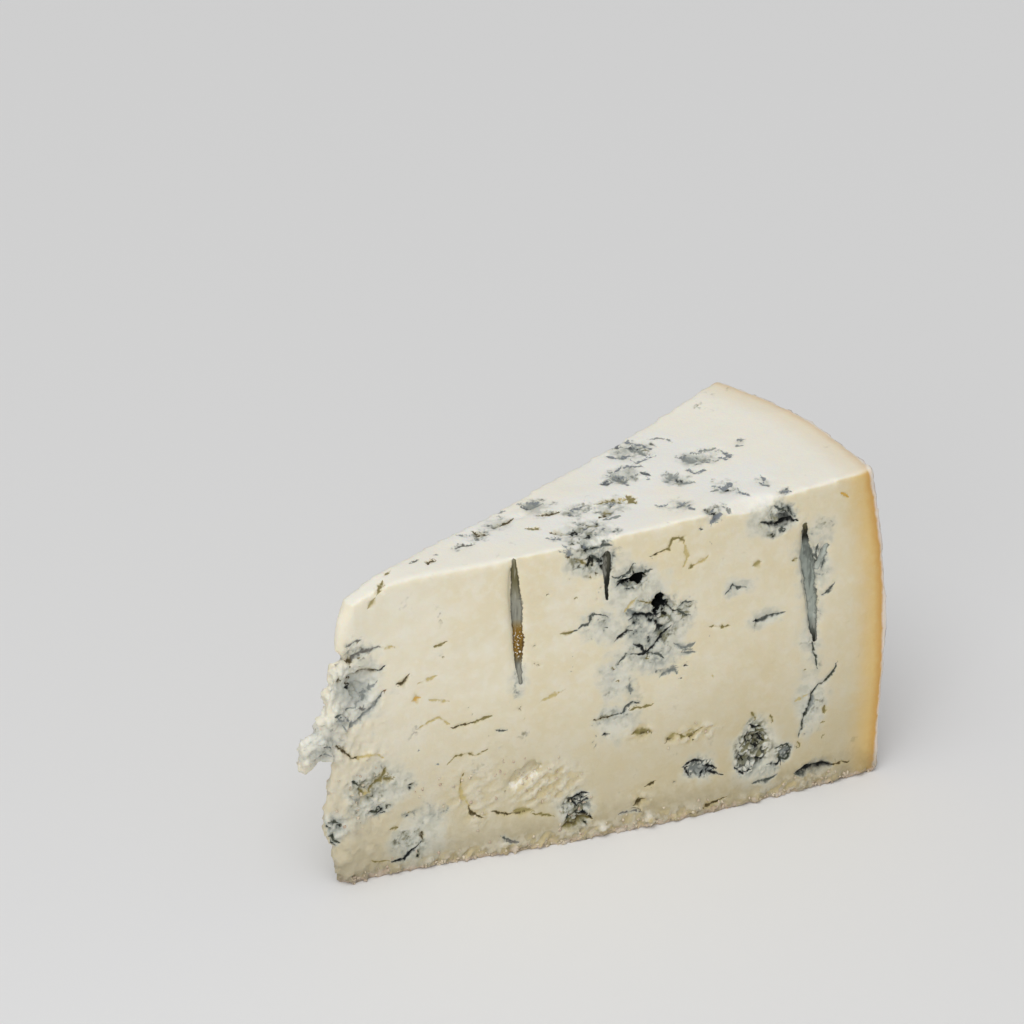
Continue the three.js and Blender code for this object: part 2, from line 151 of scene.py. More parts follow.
# The mould: blue veins that grew where air reached the curd, along the piercing needles and
# in the gaps between curds. They are hollow, so they show as dark grooves in the cut faces.
# A vein is its half width, its tint and its places: along and up a cut, or along and across the top.
BLACK = (24, 27, 28)
SLATE = (68, 74, 68)
ASH = (112, 118, 114)
MOSS = (56, 62, 48)
STEEL = (118, 124, 131)
FLINT = (78, 84, 90)
TAUPE = (104, 101, 95)
GREY = (132, 137, 133)
MIST = (196, 200, 190)
OLIVE = (124, 113, 60)
UMBER = (72, 60, 30)
BROWN = (134, 94, 48)
YELLOW = (200, 182, 122)
MUSTARD = (160, 147, 90)
ORANGE = (214, 166, 56)
FRONT_VEINS = [
    (0.90, BLACK, (85.5, 68), (84.5, 65.5), (84, 62.5)),
    (0.55, BLACK, (86, 66), (88, 64), (90, 62.5)),
    (0.75, BLACK, (84.5, 63), (81.5, 62.5), (77.5, 62.5)),
    (0.90, GREY, (77, 65.5), (79, 63.5)),
    (0.30, OLIVE, (79.5, 68), (82.5, 66)),
    (0.60, BLACK, (73.5, 73), (76, 74), (78, 73.5)),
    (1.20, BLACK, (77.5, 73.5), (80.5, 74.5)),
    (0.50, SLATE, (80.5, 74.5), (82.5, 76)),
    (0.45, SLATE, (79, 72.5), (80, 74)),
    (0.45, SLATE, (75.5, 77), (77.5, 78.5)),
    (0.45, SLATE, (72, 75.5), (74, 75), (75.5, 76.5)),
    (0.75, BLACK, (113.5, 83.5), (117, 83), (120, 83), (123.5, 82.8)),
    (1.60, BLACK, (118.3, 83.3), (122, 83.3)),
    (0.80, SLATE, (118.6, 81.2), (119.8, 80.4)),
    (0.50, SLATE, (118, 88), (119, 86.5), (121, 86.5), (122.5, 84)),
    (1.00, SLATE, (126.5, 5), (129.5, 5.2)),
    (0.60, BLACK, (126, 5.6), (128, 6.6), (130.5, 7.2)),
    (1.60, BLACK, (129, 6.3), (132.5, 6.4), (136.5, 5.9)),
    (0.40, UMBER, (136, 6.2), (139, 5.6), (142, 5)),
    (1.20, UMBER, (78.2, 6.8), (80.4, 7.6)),
    (0.35, TAUPE, (73.5, 4.8), (76.5, 5.2), (80, 4.8)),
    (0.50, UMBER, (82, 11.2), (83.8, 12.3)),
    (0.45, TAUPE, (-0.5, 70.5), (1.5, 71.5), (3, 71.5)),
    (0.60, TAUPE, (0.5, 66.5), (3, 68.5), (5.5, 68.5), (8, 68.5)),
    # These two strokes are painted shadow under the roof of the hollow at the point.
    (1.10, UMBER, (1, 62), (3, 62), (6, 61.8)),
    (0.40, BLACK, (6, 62), (8, 62), (9.5, 63)),
    # These two strokes are a painted shadow edge running down the point.
    (0.80, GREY, (8, 55), (4.5, 51.5), (2, 48.5), (-2, 47)),
    (0.40, SLATE, (8, 54.5), (6, 53), (4.5, 51)),
    (0.70, TAUPE, (1.5, 52), (3, 51.5)),
    (0.45, GREY, (7, 59), (4, 55.5), (1, 53), (-1, 52.5)),
    (0.40, SLATE, (-5, 52.5), (-2.5, 52.5)),
    (0.40, GREY, (-4.5, 51), (-2, 51)),
    (0.40, GREY, (-1.5, 50), (-1, 48)),
    (0.70, UMBER, (-3.5, 61.5)),
    (0.90, UMBER, (-0.5, 66)),
    (0.70, UMBER, (-0.5, 60.5)),
    (0.55, BLACK, (-1, 59)),
    (0.90, OLIVE, (0.5, 57.5)),
    (0.40, GREY, (0, 47), (-2, 47), (-3, 49)),
    (0.50, SLATE, (-9, 45), (-7, 44)),
    (0.45, GREY, (-10, 42), (-6, 41)),
    (0.40, BROWN, (9, 55.5)),
    (0.35, OLIVE, (23, 65.5), (26.5, 66)),
    (0.75, MUSTARD, (5.5, 80.5), (7, 82.5)),
    (0.35, OLIVE, (22, 62.5)),
    (0.35, OLIVE, (25, 61.5)),
    (0.80, MOSS, (-0.5, 31), (1, 30)),
    (0.70, OLIVE, (4, 27), (6.5, 29), (8, 30.5), (9, 32)),
    (0.90, OLIVE, (1.5, 28), (2.5, 26.5)),
    (0.60, OLIVE, (8, 29.5), (10.5, 29)),
    (0.60, MOSS, (4, 20.5), (6.5, 20)),
    (0.55, BLACK, (6.5, 21.5), (8, 20), (6.5, 19.5)),
    (0.60, OLIVE, (15, 17.5)),
    (0.60, OLIVE, (10.5, 14), (12, 14)),
    (0.35, GREY, (16, 34.5)),
    (0.35, GREY, (18, 35.5)),
    (0.35, GREY, (23.5, 30.5)),
    (0.60, BLACK, (10, 4), (13, 4), (15, 5.5), (18.5, 8)),
    (0.80, UMBER, (18.5, 9.5), (19, 11)),
    (0.90, MOSS, (-6.5, 20.5), (-5, 20)),
    (0.70, MOSS, (-7.5, 16.5), (-6, 15), (-4, 14)),
    (0.65, BLACK, (59.5, 12.4), (65, 12.4)),
    (0.55, BLACK, (60, 11.9), (62, 10), (65, 10.6)),
    (1.10, OLIVE, (57.5, 4.4), (61, 4.7), (63.5, 6.3), (65.5, 5.8)),
    (0.75, UMBER, (57.5, 4.6), (61, 4.9), (63.5, 6.6), (66, 5.7)),
    (0.45, BLACK, (62, 7.4), (64, 7.6), (66, 6.2)),
    (0.45, SLATE, (59.3, 6.2), (59.3, 7.8)),
    (0.95, BLACK, (69.6, 29)),
    (0.40, BROWN, (70, 24)),
    (0.40, UMBER, (66.5, 34.5), (70, 34.8), (72.5, 34.5)),
    (0.45, SLATE, (72, 34.5), (75.5, 35), (77.5, 37.5), (79.5, 37)),
    (0.40, SLATE, (39.5, 37.5), (42.5, 37)),
    (0.40, SLATE, (60, 61.5), (65, 63.5), (66.5, 66), (70.5, 64.5)),
    (0.45, OLIVE, (61, 71.5)),
    (0.45, UMBER, (67, 77.5)),
    (0.40, OLIVE, (65.5, 76.5)),
    (0.35, SLATE, (70, 61)),
    (0.35, GREY, (69.5, 57.5)),
    (0.60, BLACK, (73, 57), (75.5, 58.5), (77.5, 59)),
    (0.90, BLACK, (75.5, 58.5), (76.8, 59)),
    (0.50, BLACK, (77.8, 55), (79, 54.2), (80.2, 53.6), (81.7, 51.5)),
    (0.70, ASH, (77, 43), (77.2, 40)),
    (0.55, BLACK, (88, 58), (86, 56.5), (84, 53), (81.5, 51.5), (78, 52)),
    (0.45, SLATE, (78.5, 52), (75.5, 52), (74, 50)),
    (0.40, SLATE, (82, 51.5), (84, 50.5), (86.5, 49)),
    (0.45, SLATE, (90, 63.5), (92, 64.5), (94.5, 64.5)),
    (0.40, SLATE, (90.5, 62.5), (93.5, 60.5)),
    (0.65, ASH, (90, 52.7), (92, 51.2), (94.8, 52)),
    (0.55, ASH, (91.5, 49.8), (95.4, 49)),
    (0.70, ASH, (86, 44), (89, 45.6), (90, 43.8)),
    (0.50, BLACK, (92, 45.3), (93.5, 45.2)),
    (0.40, SLATE, (91, 42)),
    (0.70, OLIVE, (81.5, 49.5)),
    (0.45, OLIVE, (72, 49)),
    (0.50, OLIVE, (73, 45)),
    (0.40, OLIVE, (68, 40.5)),
    (0.45, SLATE, (104, 65), (106, 67), (107.5, 66), (109.5, 65.5)),
    (0.55, BLACK, (92.5, 15.3), (96, 16.3), (98, 15.3)),
    (0.50, BLACK, (93, 15.3), (94, 11.8)),
    (0.50, BLACK, (98.5, 14.3), (102, 12.8)),
    (0.50, BLACK, (97, 10.8), (98.5, 12.8), (103.5, 10.3)),
    (1.40, GREY, (94.5, 13.8), (100, 12.8)),
    (0.55, MOSS, (137, 37), (136, 35), (134, 32.5), (132, 32), (130.5, 30)),
    (0.40, BLACK, (131, 31.5), (129.5, 27.5), (128, 23), (127, 18)),
    (0.60, MOSS, (130.5, 30), (129, 25), (127.5, 21.5), (126.5, 16.5)),
    (0.90, GREY, (130.5, 28.5), (129, 24)),
    (0.60, OLIVE, (134, 24.5), (133.5, 22.5)),
    (0.60, OLIVE, (133, 20)),
    (0.55, OLIVE, (133.5, 16)),
    (0.45, MOSS, (130, 45), (130.5, 39.5), (131.5, 36.5)),
    (0.40, SLATE, (133.4, 73.8), (132, 70), (131.4, 67)),
    (0.40, SLATE, (130.3, 74.4), (129.8, 71), (129.6, 67)),
    (0.55, SLATE, (131.8, 59), (134, 60.3), (135.5, 62)),
    (0.60, OLIVE, (122.6, 71.2), (124.2, 71.6)),
    (0.35, OLIVE, (127, 37)),
    (0.80, MUSTARD, (111.5, 71.6), (113.5, 72.6)),
    (0.70, SLATE, (95.5, 85.6)),
    (0.75, SLATE, (112.5, 54.9), (116.3, 55.4), (120.4, 55.8)),
    (0.90, BLACK, (112.6, 54.8)),
    (0.60, BLACK, (112.5, 23.5), (114, 22.5), (115.5, 22.5)),
    (0.50, BLACK, (111.5, 20), (111, 17)),
    (0.55, BLACK, (114, 18.5), (116, 17.5)),
    (0.50, BLACK, (109, 14.5), (110.5, 12.5)),
    (0.50, BLACK, (113, 13), (115, 11.5)),
    (0.50, OLIVE, (112.5, 27), (113.5, 25)),
    (0.45, OLIVE, (118, 25), (118.5, 23)),
    (0.55, BLACK, (117, 10), (119.5, 9.5), (121, 10.5)),
    (0.45, BLACK, (107.5, 11.5), (109, 9.5), (112, 9.8)),
    (0.60, SLATE, (113.5, 6), (117, 5.5), (119.5, 6.5)),
    (0.50, MOSS, (119.5, 15), (122.5, 15), (124.5, 13), (123, 10.5), (120, 11.5)),
    (1.20, GREY, (121, 13), (123, 13)),
    (0.40, OLIVE, (120, 20.5)),
    (0.60, SLATE, (64, 85.5), (68, 85)),
    (0.80, SLATE, (69, 86), (71.5, 85)),
    (0.60, SLATE, (66.5, 82.5), (68.5, 81)),
    (0.50, UMBER, (59, 84), (60.5, 83.5)),
    (0.45, OLIVE, (62, 83), (64.5, 80.5)),
    (0.40, GREY, (57, 86), (61.5, 84)),
]
BACK_VEINS = [
    (0.60, TAUPE, (2, 62), (6, 60), (9, 63)),
    (0.45, SLATE, (4, 40), (9, 42), (13, 39)),
    (0.50, OLIVE, (18, 24), (22, 22.5), (25, 24)),
    (0.40, SLATE, (33, 62), (36, 60.5)),
    (0.90, BLACK, (37, 34.5), (43, 33)),
    (0.80, BLACK, (36, 35), (38, 36.5), (40.5, 36.8)),
    (0.60, BLACK, (41.5, 36), (44.5, 36.5)),
    (0.70, BLACK, (38.5, 31.8), (41, 31), (43.5, 31.6)),
    (0.50, SLATE, (43, 33), (47, 31), (52, 31.5)),
    (0.45, UMBER, (30, 37), (34, 35.5), (37, 35)),
    (0.60, BLACK, (77, 60.5), (82, 57.5), (86, 54), (88, 51.5)),
    (1.10, BLACK, (88, 51.5), (95, 52.5)),
    (0.80, BLACK, (87, 54), (90, 55), (92.5, 54.2)),
    (0.70, BLACK, (91, 49.6), (94, 49), (97, 50)),
    (0.60, BLACK, (96, 53), (100, 52)),
    (0.55, BLACK, (94, 52.5), (97.5, 55), (98.5, 58.5)),
    (0.50, SLATE, (79, 66), (83, 63), (85.5, 59)),
    (0.50, SLATE, (82, 48.5), (86, 46.5), (91, 47.5)),
    (0.45, SLATE, (90, 62), (93, 60), (95, 56)),
    (0.45, SLATE, (73, 54), (77, 55.5), (80, 54.5)),
    (0.50, SLATE, (90, 43), (92.5, 39), (96, 37)),
    (1.00, UMBER, (82.5, 21.5), (85.5, 22.5)),
    (0.70, BLACK, (81, 23.5), (83, 25), (85.5, 24.6)),
    (0.60, BLACK, (85.5, 20), (88, 20.8)),
    (0.60, BLACK, (81.5, 19.5), (83.5, 18.4)),
    (0.50, BLACK, (76, 18.5), (79, 20.5), (82.5, 21.5)),
    (0.45, SLATE, (86, 23), (88.5, 26), (89.5, 30)),
    (0.50, OLIVE, (77, 15), (82, 16.5), (86, 16)),
    (0.90, BLACK, (119, 15.2), (125, 14.8)),
    (0.60, BLACK, (109, 11), (113, 12.5), (119, 15)),
    (0.50, SLATE, (113, 18), (117, 19.5), (121, 17.5)),
    (0.50, SLATE, (118, 71), (120, 64), (123.5, 60), (123, 54)),
    (0.50, OLIVE, (52, 72), (55, 70)),
    (0.45, OLIVE, (110, 33), (114, 31)),
    (0.60, OLIVE, (24, 41)),
    (0.45, SLATE, (63, 44.5), (65.5, 43.5)),
    (0.60, OLIVE, (104, 44)),
]
TOP_VEINS = [
    (0.55, STEEL, (98.5, 23), (101, 25), (104, 20.5), (104.5, 18.5), (105, 15)),
    (0.50, STEEL, (93.5, 20), (95, 17.5), (99.5, 16)),
    (0.50, STEEL, (97.5, 14.5), (97.5, 11.5), (101, 11.5), (104, 11.5)),
    (1.00, FLINT, (98, 22.5), (99, 22)),
    (0.90, FLINT, (101, 20.5), (102, 20)),
    (0.60, GREY, (99.5, 21), (102, 17.5), (102, 13)),
    (0.35, GREY, (107.5, 20.5), (110.5, 19), (112, 14)),
    (1.00, FLINT, (84.5, 9), (86.5, 7.5)),
    (0.55, STEEL, (87.5, 11.5), (89.5, 10), (91.5, 8)),
    (0.50, STEEL, (90.5, 11.5), (93.5, 13), (95.5, 11), (97.5, 9)),
    (0.60, STEEL, (89.5, 7.5), (89, 3.5)),
    (0.90, GREY, (88, 9.5), (90, 7)),
    (0.50, GREY, (93.5, 6.5)),
    (0.70, FLINT, (95.5, 6.5), (96.5, 4)),
    (0.55, STEEL, (94.5, 2.5)),
    (1.20, GREY, (98, -1), (101.5, 0.5), (102, -3), (103, -5.5)),
    (0.70, BLACK, (101.5, 0.5), (102.5, -3)),
    (1.80, GREY, (108, 6.5), (110, 5), (111.5, 3)),
    (0.50, STEEL, (108, 7), (109.5, 6.5)),
    (0.60, STEEL, (111, 2.5), (112.5, 0)),
    (0.55, STEEL, (106.5, 0.5), (106.5, -2.5), (110, -3)),
    (0.50, GREY, (112, 7), (118.5, 5)),
    (0.50, STEEL, (117.5, 3.5), (119, 3), (118.5, -1.5), (117, -1.5), (116, 0.5)),
    (0.50, STEEL, (125.5, 4), (127, 3)),
    (0.45, GREY, (123, 2), (125, 1)),
    (0.60, STEEL, (108, -8)),
    (0.55, STEEL, (106, -10.5), (107.5, -13.5), (110, -13.5)),
    (0.45, GREY, (104.5, -13), (106, -13)),
    (0.45, STEEL, (109.5, -10.5), (110, -13.5)),
    (0.60, STEEL, (110.5, -16), (109.5, -18.5), (109.5, -22)),
    (0.45, GREY, (106.5, -18.5)),
    (0.55, STEEL, (116, -17.5), (116.5, -20.5)),
    (0.50, STEEL, (118.5, -15.5), (117, -18)),
    (0.55, STEEL, (117, -25), (119, -27)),
    (0.60, STEEL, (88, -9.5), (89, -11.5), (90.5, -11.5)),
    (0.60, STEEL, (92.5, -14), (94.5, -13), (94, -18.5)),
    (0.50, STEEL, (96, -21.5), (98.5, -21)),
    (0.50, STEEL, (96, -23.5), (99.5, -23.5)),
    (0.45, GREY, (101.5, -22), (103, -23.5)),
    (0.70, OLIVE, (77, 1), (81, 0), (82.5, -3.5)),
    (0.70, OLIVE, (85.5, -0.5), (85, -5.5)),
    (0.90, OLIVE, (75.5, -4), (77, -5)),
    (0.50, STEEL, (79, -0.5), (80.5, -2.5)),
    (0.50, GREY, (73.5, -7.5), (77.5, -8.5)),
    (0.50, UMBER, (73, -6), (75.5, -5)),
    (0.50, STEEL, (67.5, 0.5), (71, 2), (75, 2)),
    (0.50, GREY, (71.5, -1)),
    (0.50, GREY, (74, -0.5)),
    (1.70, GREY, (61, 12), (63, 10.5), (65, 9.5)),
    (0.90, FLINT, (60, 11), (62, 9.5)),
    (0.55, STEEL, (62, 12.5), (65.5, 10.5)),
    (0.70, UMBER, (61, 5), (63.5, 3.5), (66.5, 3)),
    (0.65, UMBER, (48.5, 6.5), (53, 6.5), (55, 7.5)),
    (0.70, GREY, (53.5, 13.5), (55.5, 12)),
    (0.65, UMBER, (42.5, 7.5), (43, 5), (45, 4)),
    (0.45, GREY, (38.5, 7.5), (41, 6.5)),
    (0.45, GREY, (40, 4), (42.5, 3)),
    (0.55, TAUPE, (34.5, 2.5), (36.5, 3), (38.5, 1.5)),
    (0.55, UMBER, (24, -0.8), (25, 0.3), (26, -0.6)),
    (0.40, TAUPE, (20, 2), (23, 2.8)),
    (0.50, OLIVE, (12, 1), (14.4, 1.9)),
    (0.60, OLIVE, (6.6, -3.4), (10.2, -0.5)),
    (0.45, OLIVE, (1, -3), (4, -1.5)),
    (0.40, GREY, (28, 2.5), (29, 2)),
    (0.55, OLIVE, (55, 0.5), (57.5, -2)),
    (0.90, UMBER, (59, -5), (62, -7)),
    (0.55, STEEL, (56, -6.5), (58.5, -9)),
    (0.60, STEEL, (57.5, -12), (59, -15.5)),
    (0.60, STEEL, (63, -14)),
    (0.70, FLINT, (64, -16.5), (68.5, -16)),
    (0.90, FLINT, (63.5, -18.5), (64.5, -19.5)),
    (0.60, GREY, (60.5, -19.5)),
    (0.50, GREY, (66.5, -4)),
    (0.55, STEEL, (67, -7.5), (68, -9)),
    (0.50, GREY, (67.5, -12)),
    (0.55, STEEL, (70.5, -11)),
    (0.50, GREY, (62.5, -11)),
    (0.45, OLIVE, (70.5, -8.5)),
]
# Where mould spreads between the curds: the middle of each patch, its half length and half
# height, and how thick it grows there.
FRONT_PATCHES = [
    (83, 60, 9, 9, 0.8),
    (84, 49, 10, 6, 0.5),
    (77, 74, 6, 5, 0.6),
    (67, 82, 7, 6, 0.8),
    (72, 46, 4, 9, 0.4),
    (70, 63, 4, 5, 0.4),
    (2, 57, 7, 9, 0.2),
    (-9, 44, 8, 8, 0.35),
    (2, 69, 6, 4, 0.4),
    (-6, 18, 4, 6, 0.7),
    (4, 27, 7, 7, 0.5),
    (113.5, 18, 4.5, 8, 1.0),
    (111.5, 12, 5, 4.5, 1.0),
    (122, 12.5, 3, 3, 0.75),
    (97.5, 13.3, 5, 3.2, 0.8),
    (117, 8, 5, 2.5, 0.6),
    (62, 8, 5, 6, 0.7),
    (129, 70, 6, 11, 0.45),
    (129, 50, 4, 14, 0.35),
    (129, 24, 5, 10, 0.35),
    (119.5, 85.5, 5, 4, 0.6),
    (118, 81, 4, 3, 0.45),
    (65, 64, 5, 4, 0.35),
    (107, 66, 4, 2, 0.3),
    (41, 34, 4, 6, 0.2),
    (20, 16, 10, 5, 0.42),
    (20, 38, 8, 4, 0.12),
    (78, 40, 4, 8, 0.4),
    (46, 49, 2.5, 8, 0.35),
    (13.5, 25.5, 5, 4, 0.4),
    (16, 8, 7, 6, 0.5),
    (7, 20.5, 4, 3, 0.6),
    (6.5, 81.5, 3, 2, 0.12),
    (92, 62, 5, 5, 0.4),
    (24, 64, 3, 3, 0.15),
    (73, 34.5, 6, 4, 0.45),
]
BACK_PATCHES = [
    (4, 58, 7, 9, 0.4),
    (85, 55, 10, 8, 0.8),
    (94, 52, 6, 5, 0.7),
    (79, 63, 5, 5, 0.55),
    (41, 33.5, 7, 3.5, 0.6),
    (82, 20, 8, 5, 0.75),
    (116, 14, 8, 5, 0.95),
    (121, 62, 4, 9, 0.45),
    (94, 39, 4, 4, 0.4),
    (35, 61, 4, 3, 0.35),
    (22, 23, 5, 3, 0.35),
]
TOP_PATCHES = [
    (100, 18, 8, 7, 0.6),
    (91, 9, 7, 6, 0.6),
    (101, -2, 5, 5, 0.55),
    (112, 3, 8, 6, 0.5),
    (125, 2.5, 3, 3, 0.4),
    (108, -14, 5, 6, 0.5),
    (117, -18, 3, 4, 0.45),
    (118, -26, 3, 3, 0.4),
    (93, -13, 5, 5, 0.5),
    (98, -22, 6, 3, 0.5),
    (79, -3, 7, 6, 0.6),
    (66, -10, 10, 9, 0.65),
    (71, 1, 6, 4, 0.55),
    (63, 8, 6, 6, 0.55),
    (51, 7, 6, 5, 0.5),
    (43, 5, 5, 4, 0.45),
    (37, 2, 5, 3, 0.4),
]
# Where it is a soft grey felt instead, as at the point, where air has reached the curd longest.
FRONT_FELT = [
    (2, 57, 6.5, 7, 0.95),
    (-4, 58, 6, 8, 0.6),
    (-2, 51, 6.5, 5, 0.8),
    (-9, 44, 8, 7, 0.85),
    (-6.5, 18, 3.5, 5, 0.6),
    (5, 21, 4, 3, 0.45),
    (17, 8, 4, 3, 0.35),
    (61, 8, 4.5, 5, 0.6),
    (97.5, 13.3, 4, 2.5, 0.6),
    (112, 14, 4, 5, 0.4),
    (122, 12.5, 3, 3, 0.5),
    (-4, 63, 5, 5, 0.5),
]
BACK_FELT = [
    (0, 56, 8, 8, 0.9),
    (-9, 44, 8, 7, 0.95),
    (86, 56, 8, 7, 0.45),
    (116, 14, 6, 4, 0.5),
]
# Where the curds are as small as crumbs, and where their mould is olive instead of blue.
FRONT_SMALL = [
    (113, 16, 8, 12, 1),
    (97.5, 13.3, 6, 5, 1),
    (62, 8, 5, 6, 0.7),
    (122, 12, 4, 4, 1),
]
BACK_SMALL = [
    (116, 14, 9, 6, 1),
    (82, 20, 8, 5, 0.8),
]
FRONT_OLIVE = [
    (4, 26, 10, 9, 1),
    (62, 5, 6, 4, 0.9),
    (114, 18, 8, 12, 0.5),
    (129, 26, 8, 14, 0.6),
    (17, 9, 6, 6, 0.5),
    (71, 44, 6, 10, 0.6),
    (66, 77, 5, 5, 0.6),
]
BACK_OLIVE = [
    (22, 23, 8, 6, 1),
    (82, 18, 9, 6, 0.7),
    (116, 14, 9, 6, 0.4),
]
# Where the curd round the mould has turned from cream to a cool white.
FRONT_BLEACH = [
    (79, 70, 13, 12, 1),
    (84, 55, 13, 13, 1),
    (70, 62, 8, 9, 0.9),
    (73, 45, 6, 11, 1),
    (73, 33, 8, 8, 1),
    (66, 82, 9, 7, 1),
    (117, 84, 10, 6, 1),
    (129, 70, 8, 14, 0.9),
    (129, 48, 5, 14, 0.7),
    (130, 27, 7, 13, 0.8),
    (114, 14, 10, 13, 1),
    (97, 13.3, 8, 6, 0.8),
    (62, 8, 8, 9, 0.9),
    (2, 58, 10, 13, 0.9),
    (6, 26, 13, 10, 0.9),
    (18, 9, 11, 10, 1),
    (-6, 18, 6, 9, 0.8),
    (107, 66, 7, 4, 0.8),
    (116, 55, 7, 4, 0.8),
    (46, 49, 4, 7, 0.7),
]
TOP_BLEACH = [
    (100, 10, 24, 18, 1),
    (72, -4, 24, 16, 1),
    (46, 6, 16, 8, 0.9),
    (110, -14, 16, 14, 0.9),
]
TOP_REACH = 4
RIND_REACH = 5
CUT_FULL = 6
TOP_FULL = 1
TOP_THIN = 0.85
PATCH_EDGE = 1.4, 0.2
FADE_FROM = 0.6
WANDERS = [(0.8, 5.0), (0.42, 1.4)]
WANDER_SEED = 7
TAPER = 0.65
FAR = 99.0

noise.seed_set(WANDER_SEED)


def wandering(points):
    """The points, moved a little by a smooth noise so that straight strokes meander."""
    moved = points.copy()
    for reach, pitch in WANDERS:
        moved += reach * np.array([noise.noise_vector(Vector(p / pitch)) for p in points])
    return moved


def to_segment(first, second, start, end):
    """How far along a straight segment each point lies, and its signed distance to it."""
    length = math.dist(start, end)
    along = (end[0] - start[0]) / length, (end[1] - start[1]) / length
    away = first - start[0], second - start[1]
    share = np.clip(away[0] * along[0] + away[1] * along[1], 0, length)
    off = away[0] - share * along[0], away[1] - share * along[1]
    side = np.where(along[0] * off[1] < along[1] * off[0], -1, 1)
    return share, side * np.hypot(*off)


def to_strokes(first, second, strokes):
    """Signed distance to the nearest stroke in its half widths, that half width and its tint."""
    nearest = np.full(len(first), FAR)
    halves = np.zeros(len(first))
    tints = np.zeros((len(first), 3))
    for half, stroke_tint, *places in strokes:
        ends = places[1:] or [(places[0][0] + half, places[0][1])]
        lengths = [math.dist(start, end) for start, end in zip(places, ends)]
        passed = 0
        for start, end, length in zip(places, ends, lengths):
            share, off = to_segment(first, second, start, end)
            from_middle = 2 * (passed + share) / sum(lengths) - 1
            gap = off / (half * (1 - TAPER * from_middle**2))
            closer = np.abs(gap) < np.abs(nearest)
            nearest = np.where(closer, gap, nearest)
            halves = np.where(closer, half, halves)
            tints[closer] = stroke_tint
            passed += length
    return nearest, halves, tints


def in_patches(first, second, patches):
    """How thick something grows at each point, from soft-edged ovals."""
    thickness = np.zeros(len(first))
    for middle_first, middle_second, half_first, half_second, thick in patches:
        apart = np.hypot((first - middle_first) / half_first, (second - middle_second) / half_second)
        thickness = np.maximum(thickness, thick * ease(apart, *PATCH_EDGE))
    return thickness


def nearest_of(found, depths, reaches):
    """The closest of several faces' strokes at each point, with what each face says of it."""
    best = None
    for (gap, *facts), depth, reach in zip(found, depths, reaches):
        gap = gap * (1 + FAR * ease(depth, FADE_FROM * reach, reach))
        if best is None:
            best = [gap, *facts]
            continue
        closer = np.abs(gap) < np.abs(best[0])
        masks = [closer if fact.ndim == 1 else closer[:, None] for fact in facts]
        facts = [np.where(mask, fact, kept) for mask, fact, kept in zip(masks, facts, best[1:])]
        best = [np.where(closer, gap, best[0]), *facts]
    return best


def marks_at(points):
    """The nearest stroke on any face: signed distance, half width and tint."""
    front, back = on_front(points), on_back(points)
    found = [
        to_strokes(*front[:2], FRONT_MARKS),
        to_strokes(*back[:2], BACK_MARKS),
        to_strokes(points[:, 0], points[:, 1], TOP_MARKS),
        to_strokes(points[:, 1], points[:, 2], RIND_MARKS),
    ]
    depths = front[2], back[2], under_top(points), under_rind(points)
    return nearest_of(found, depths, [FACE_REACH, FACE_REACH, TOP_REACH, RIND_REACH])


def on_cuts(points, front_patches, back_patches):
    """Thickness of what grows in patches on the two cuts alone."""
    grown = []
    for on_cut, patches in [(on_front, front_patches), (on_back, back_patches)]:
        run, rise, depth = on_cut(points)
        grown.append(in_patches(run, rise, patches) * ease(depth, FACE_REACH, CUT_FULL))
    return np.maximum(*grown)


def on_top_face(points, patches):
    """Thickness of what grows in patches on the top face."""
    return in_patches(points[:, 0], points[:, 1], patches) * ease(under_top(points), TOP_REACH, TOP_FULL)


def mould_at(points):
    """Thickness of the spreading mould, over the two cuts and the top."""
    on_sides = on_cuts(points, FRONT_PATCHES, BACK_PATCHES)
    return np.maximum(on_sides, TOP_THIN * on_top_face(points, TOP_PATCHES))


# The needle channels: the wheel was pierced with thin spikes, and the wire cut some of the
# holes along their length. Each is its places, half widths and the tint of its lining.
CHANNEL_OLIVE = (112, 106, 74)
CHANNEL_GREY = (156, 155, 142)
CHANNEL_GOLD = (140, 108, 46)
CHANNEL_MOSS = (80, 79, 66)
CHANNEL_BLACK = (34, 34, 27)
CHANNEL_SLATE = (164, 171, 162)
CHANNEL_MIST = (190, 195, 185)
FRONT_CHANNELS = [
    [
        (44.5, 85.5, 0.5, CHANNEL_OLIVE),
        (45, 80, 0.9, CHANNEL_OLIVE),
        (45.5, 73, 1.4, CHANNEL_GREY),
        (45.5, 68, 1.25, CHANNEL_GREY),
        (46, 65, 1.15, CHANNEL_GOLD),
        (46, 58, 1.05, CHANNEL_GOLD),
        (46, 55, 0.8, CHANNEL_GREY),
        (46.5, 49.5, 0.5, CHANNEL_GREY),
    ],
    [
        (70.5, 82.5, 0.7, CHANNEL_MOSS),
        (70.5, 79.5, 1.15, CHANNEL_MOSS),
        (70.2, 75, 0.8, CHANNEL_BLACK),
        (70.3, 69.5, 0.35, CHANNEL_BLACK),
    ],
    [
        (126.2, 81, 0.6, CHANNEL_OLIVE),
        (126.8, 76.5, 0.7, CHANNEL_BLACK),
        (127.1, 74, 0.95, CHANNEL_SLATE),
        (127.6, 70, 1.6, CHANNEL_SLATE),
        (128.4, 65, 1.55, CHANNEL_SLATE),
        (129, 60, 1.3, CHANNEL_SLATE),
        (129.8, 52, 0.95, CHANNEL_SLATE),
        (130.5, 45.5, 0.6, CHANNEL_BLACK),
    ],
    [
        (132.8, 73.5, 0.5, CHANNEL_MIST),
        (131.3, 70, 1.0, CHANNEL_MIST),
        (130.4, 67, 0.6, CHANNEL_MIST),
    ],
]
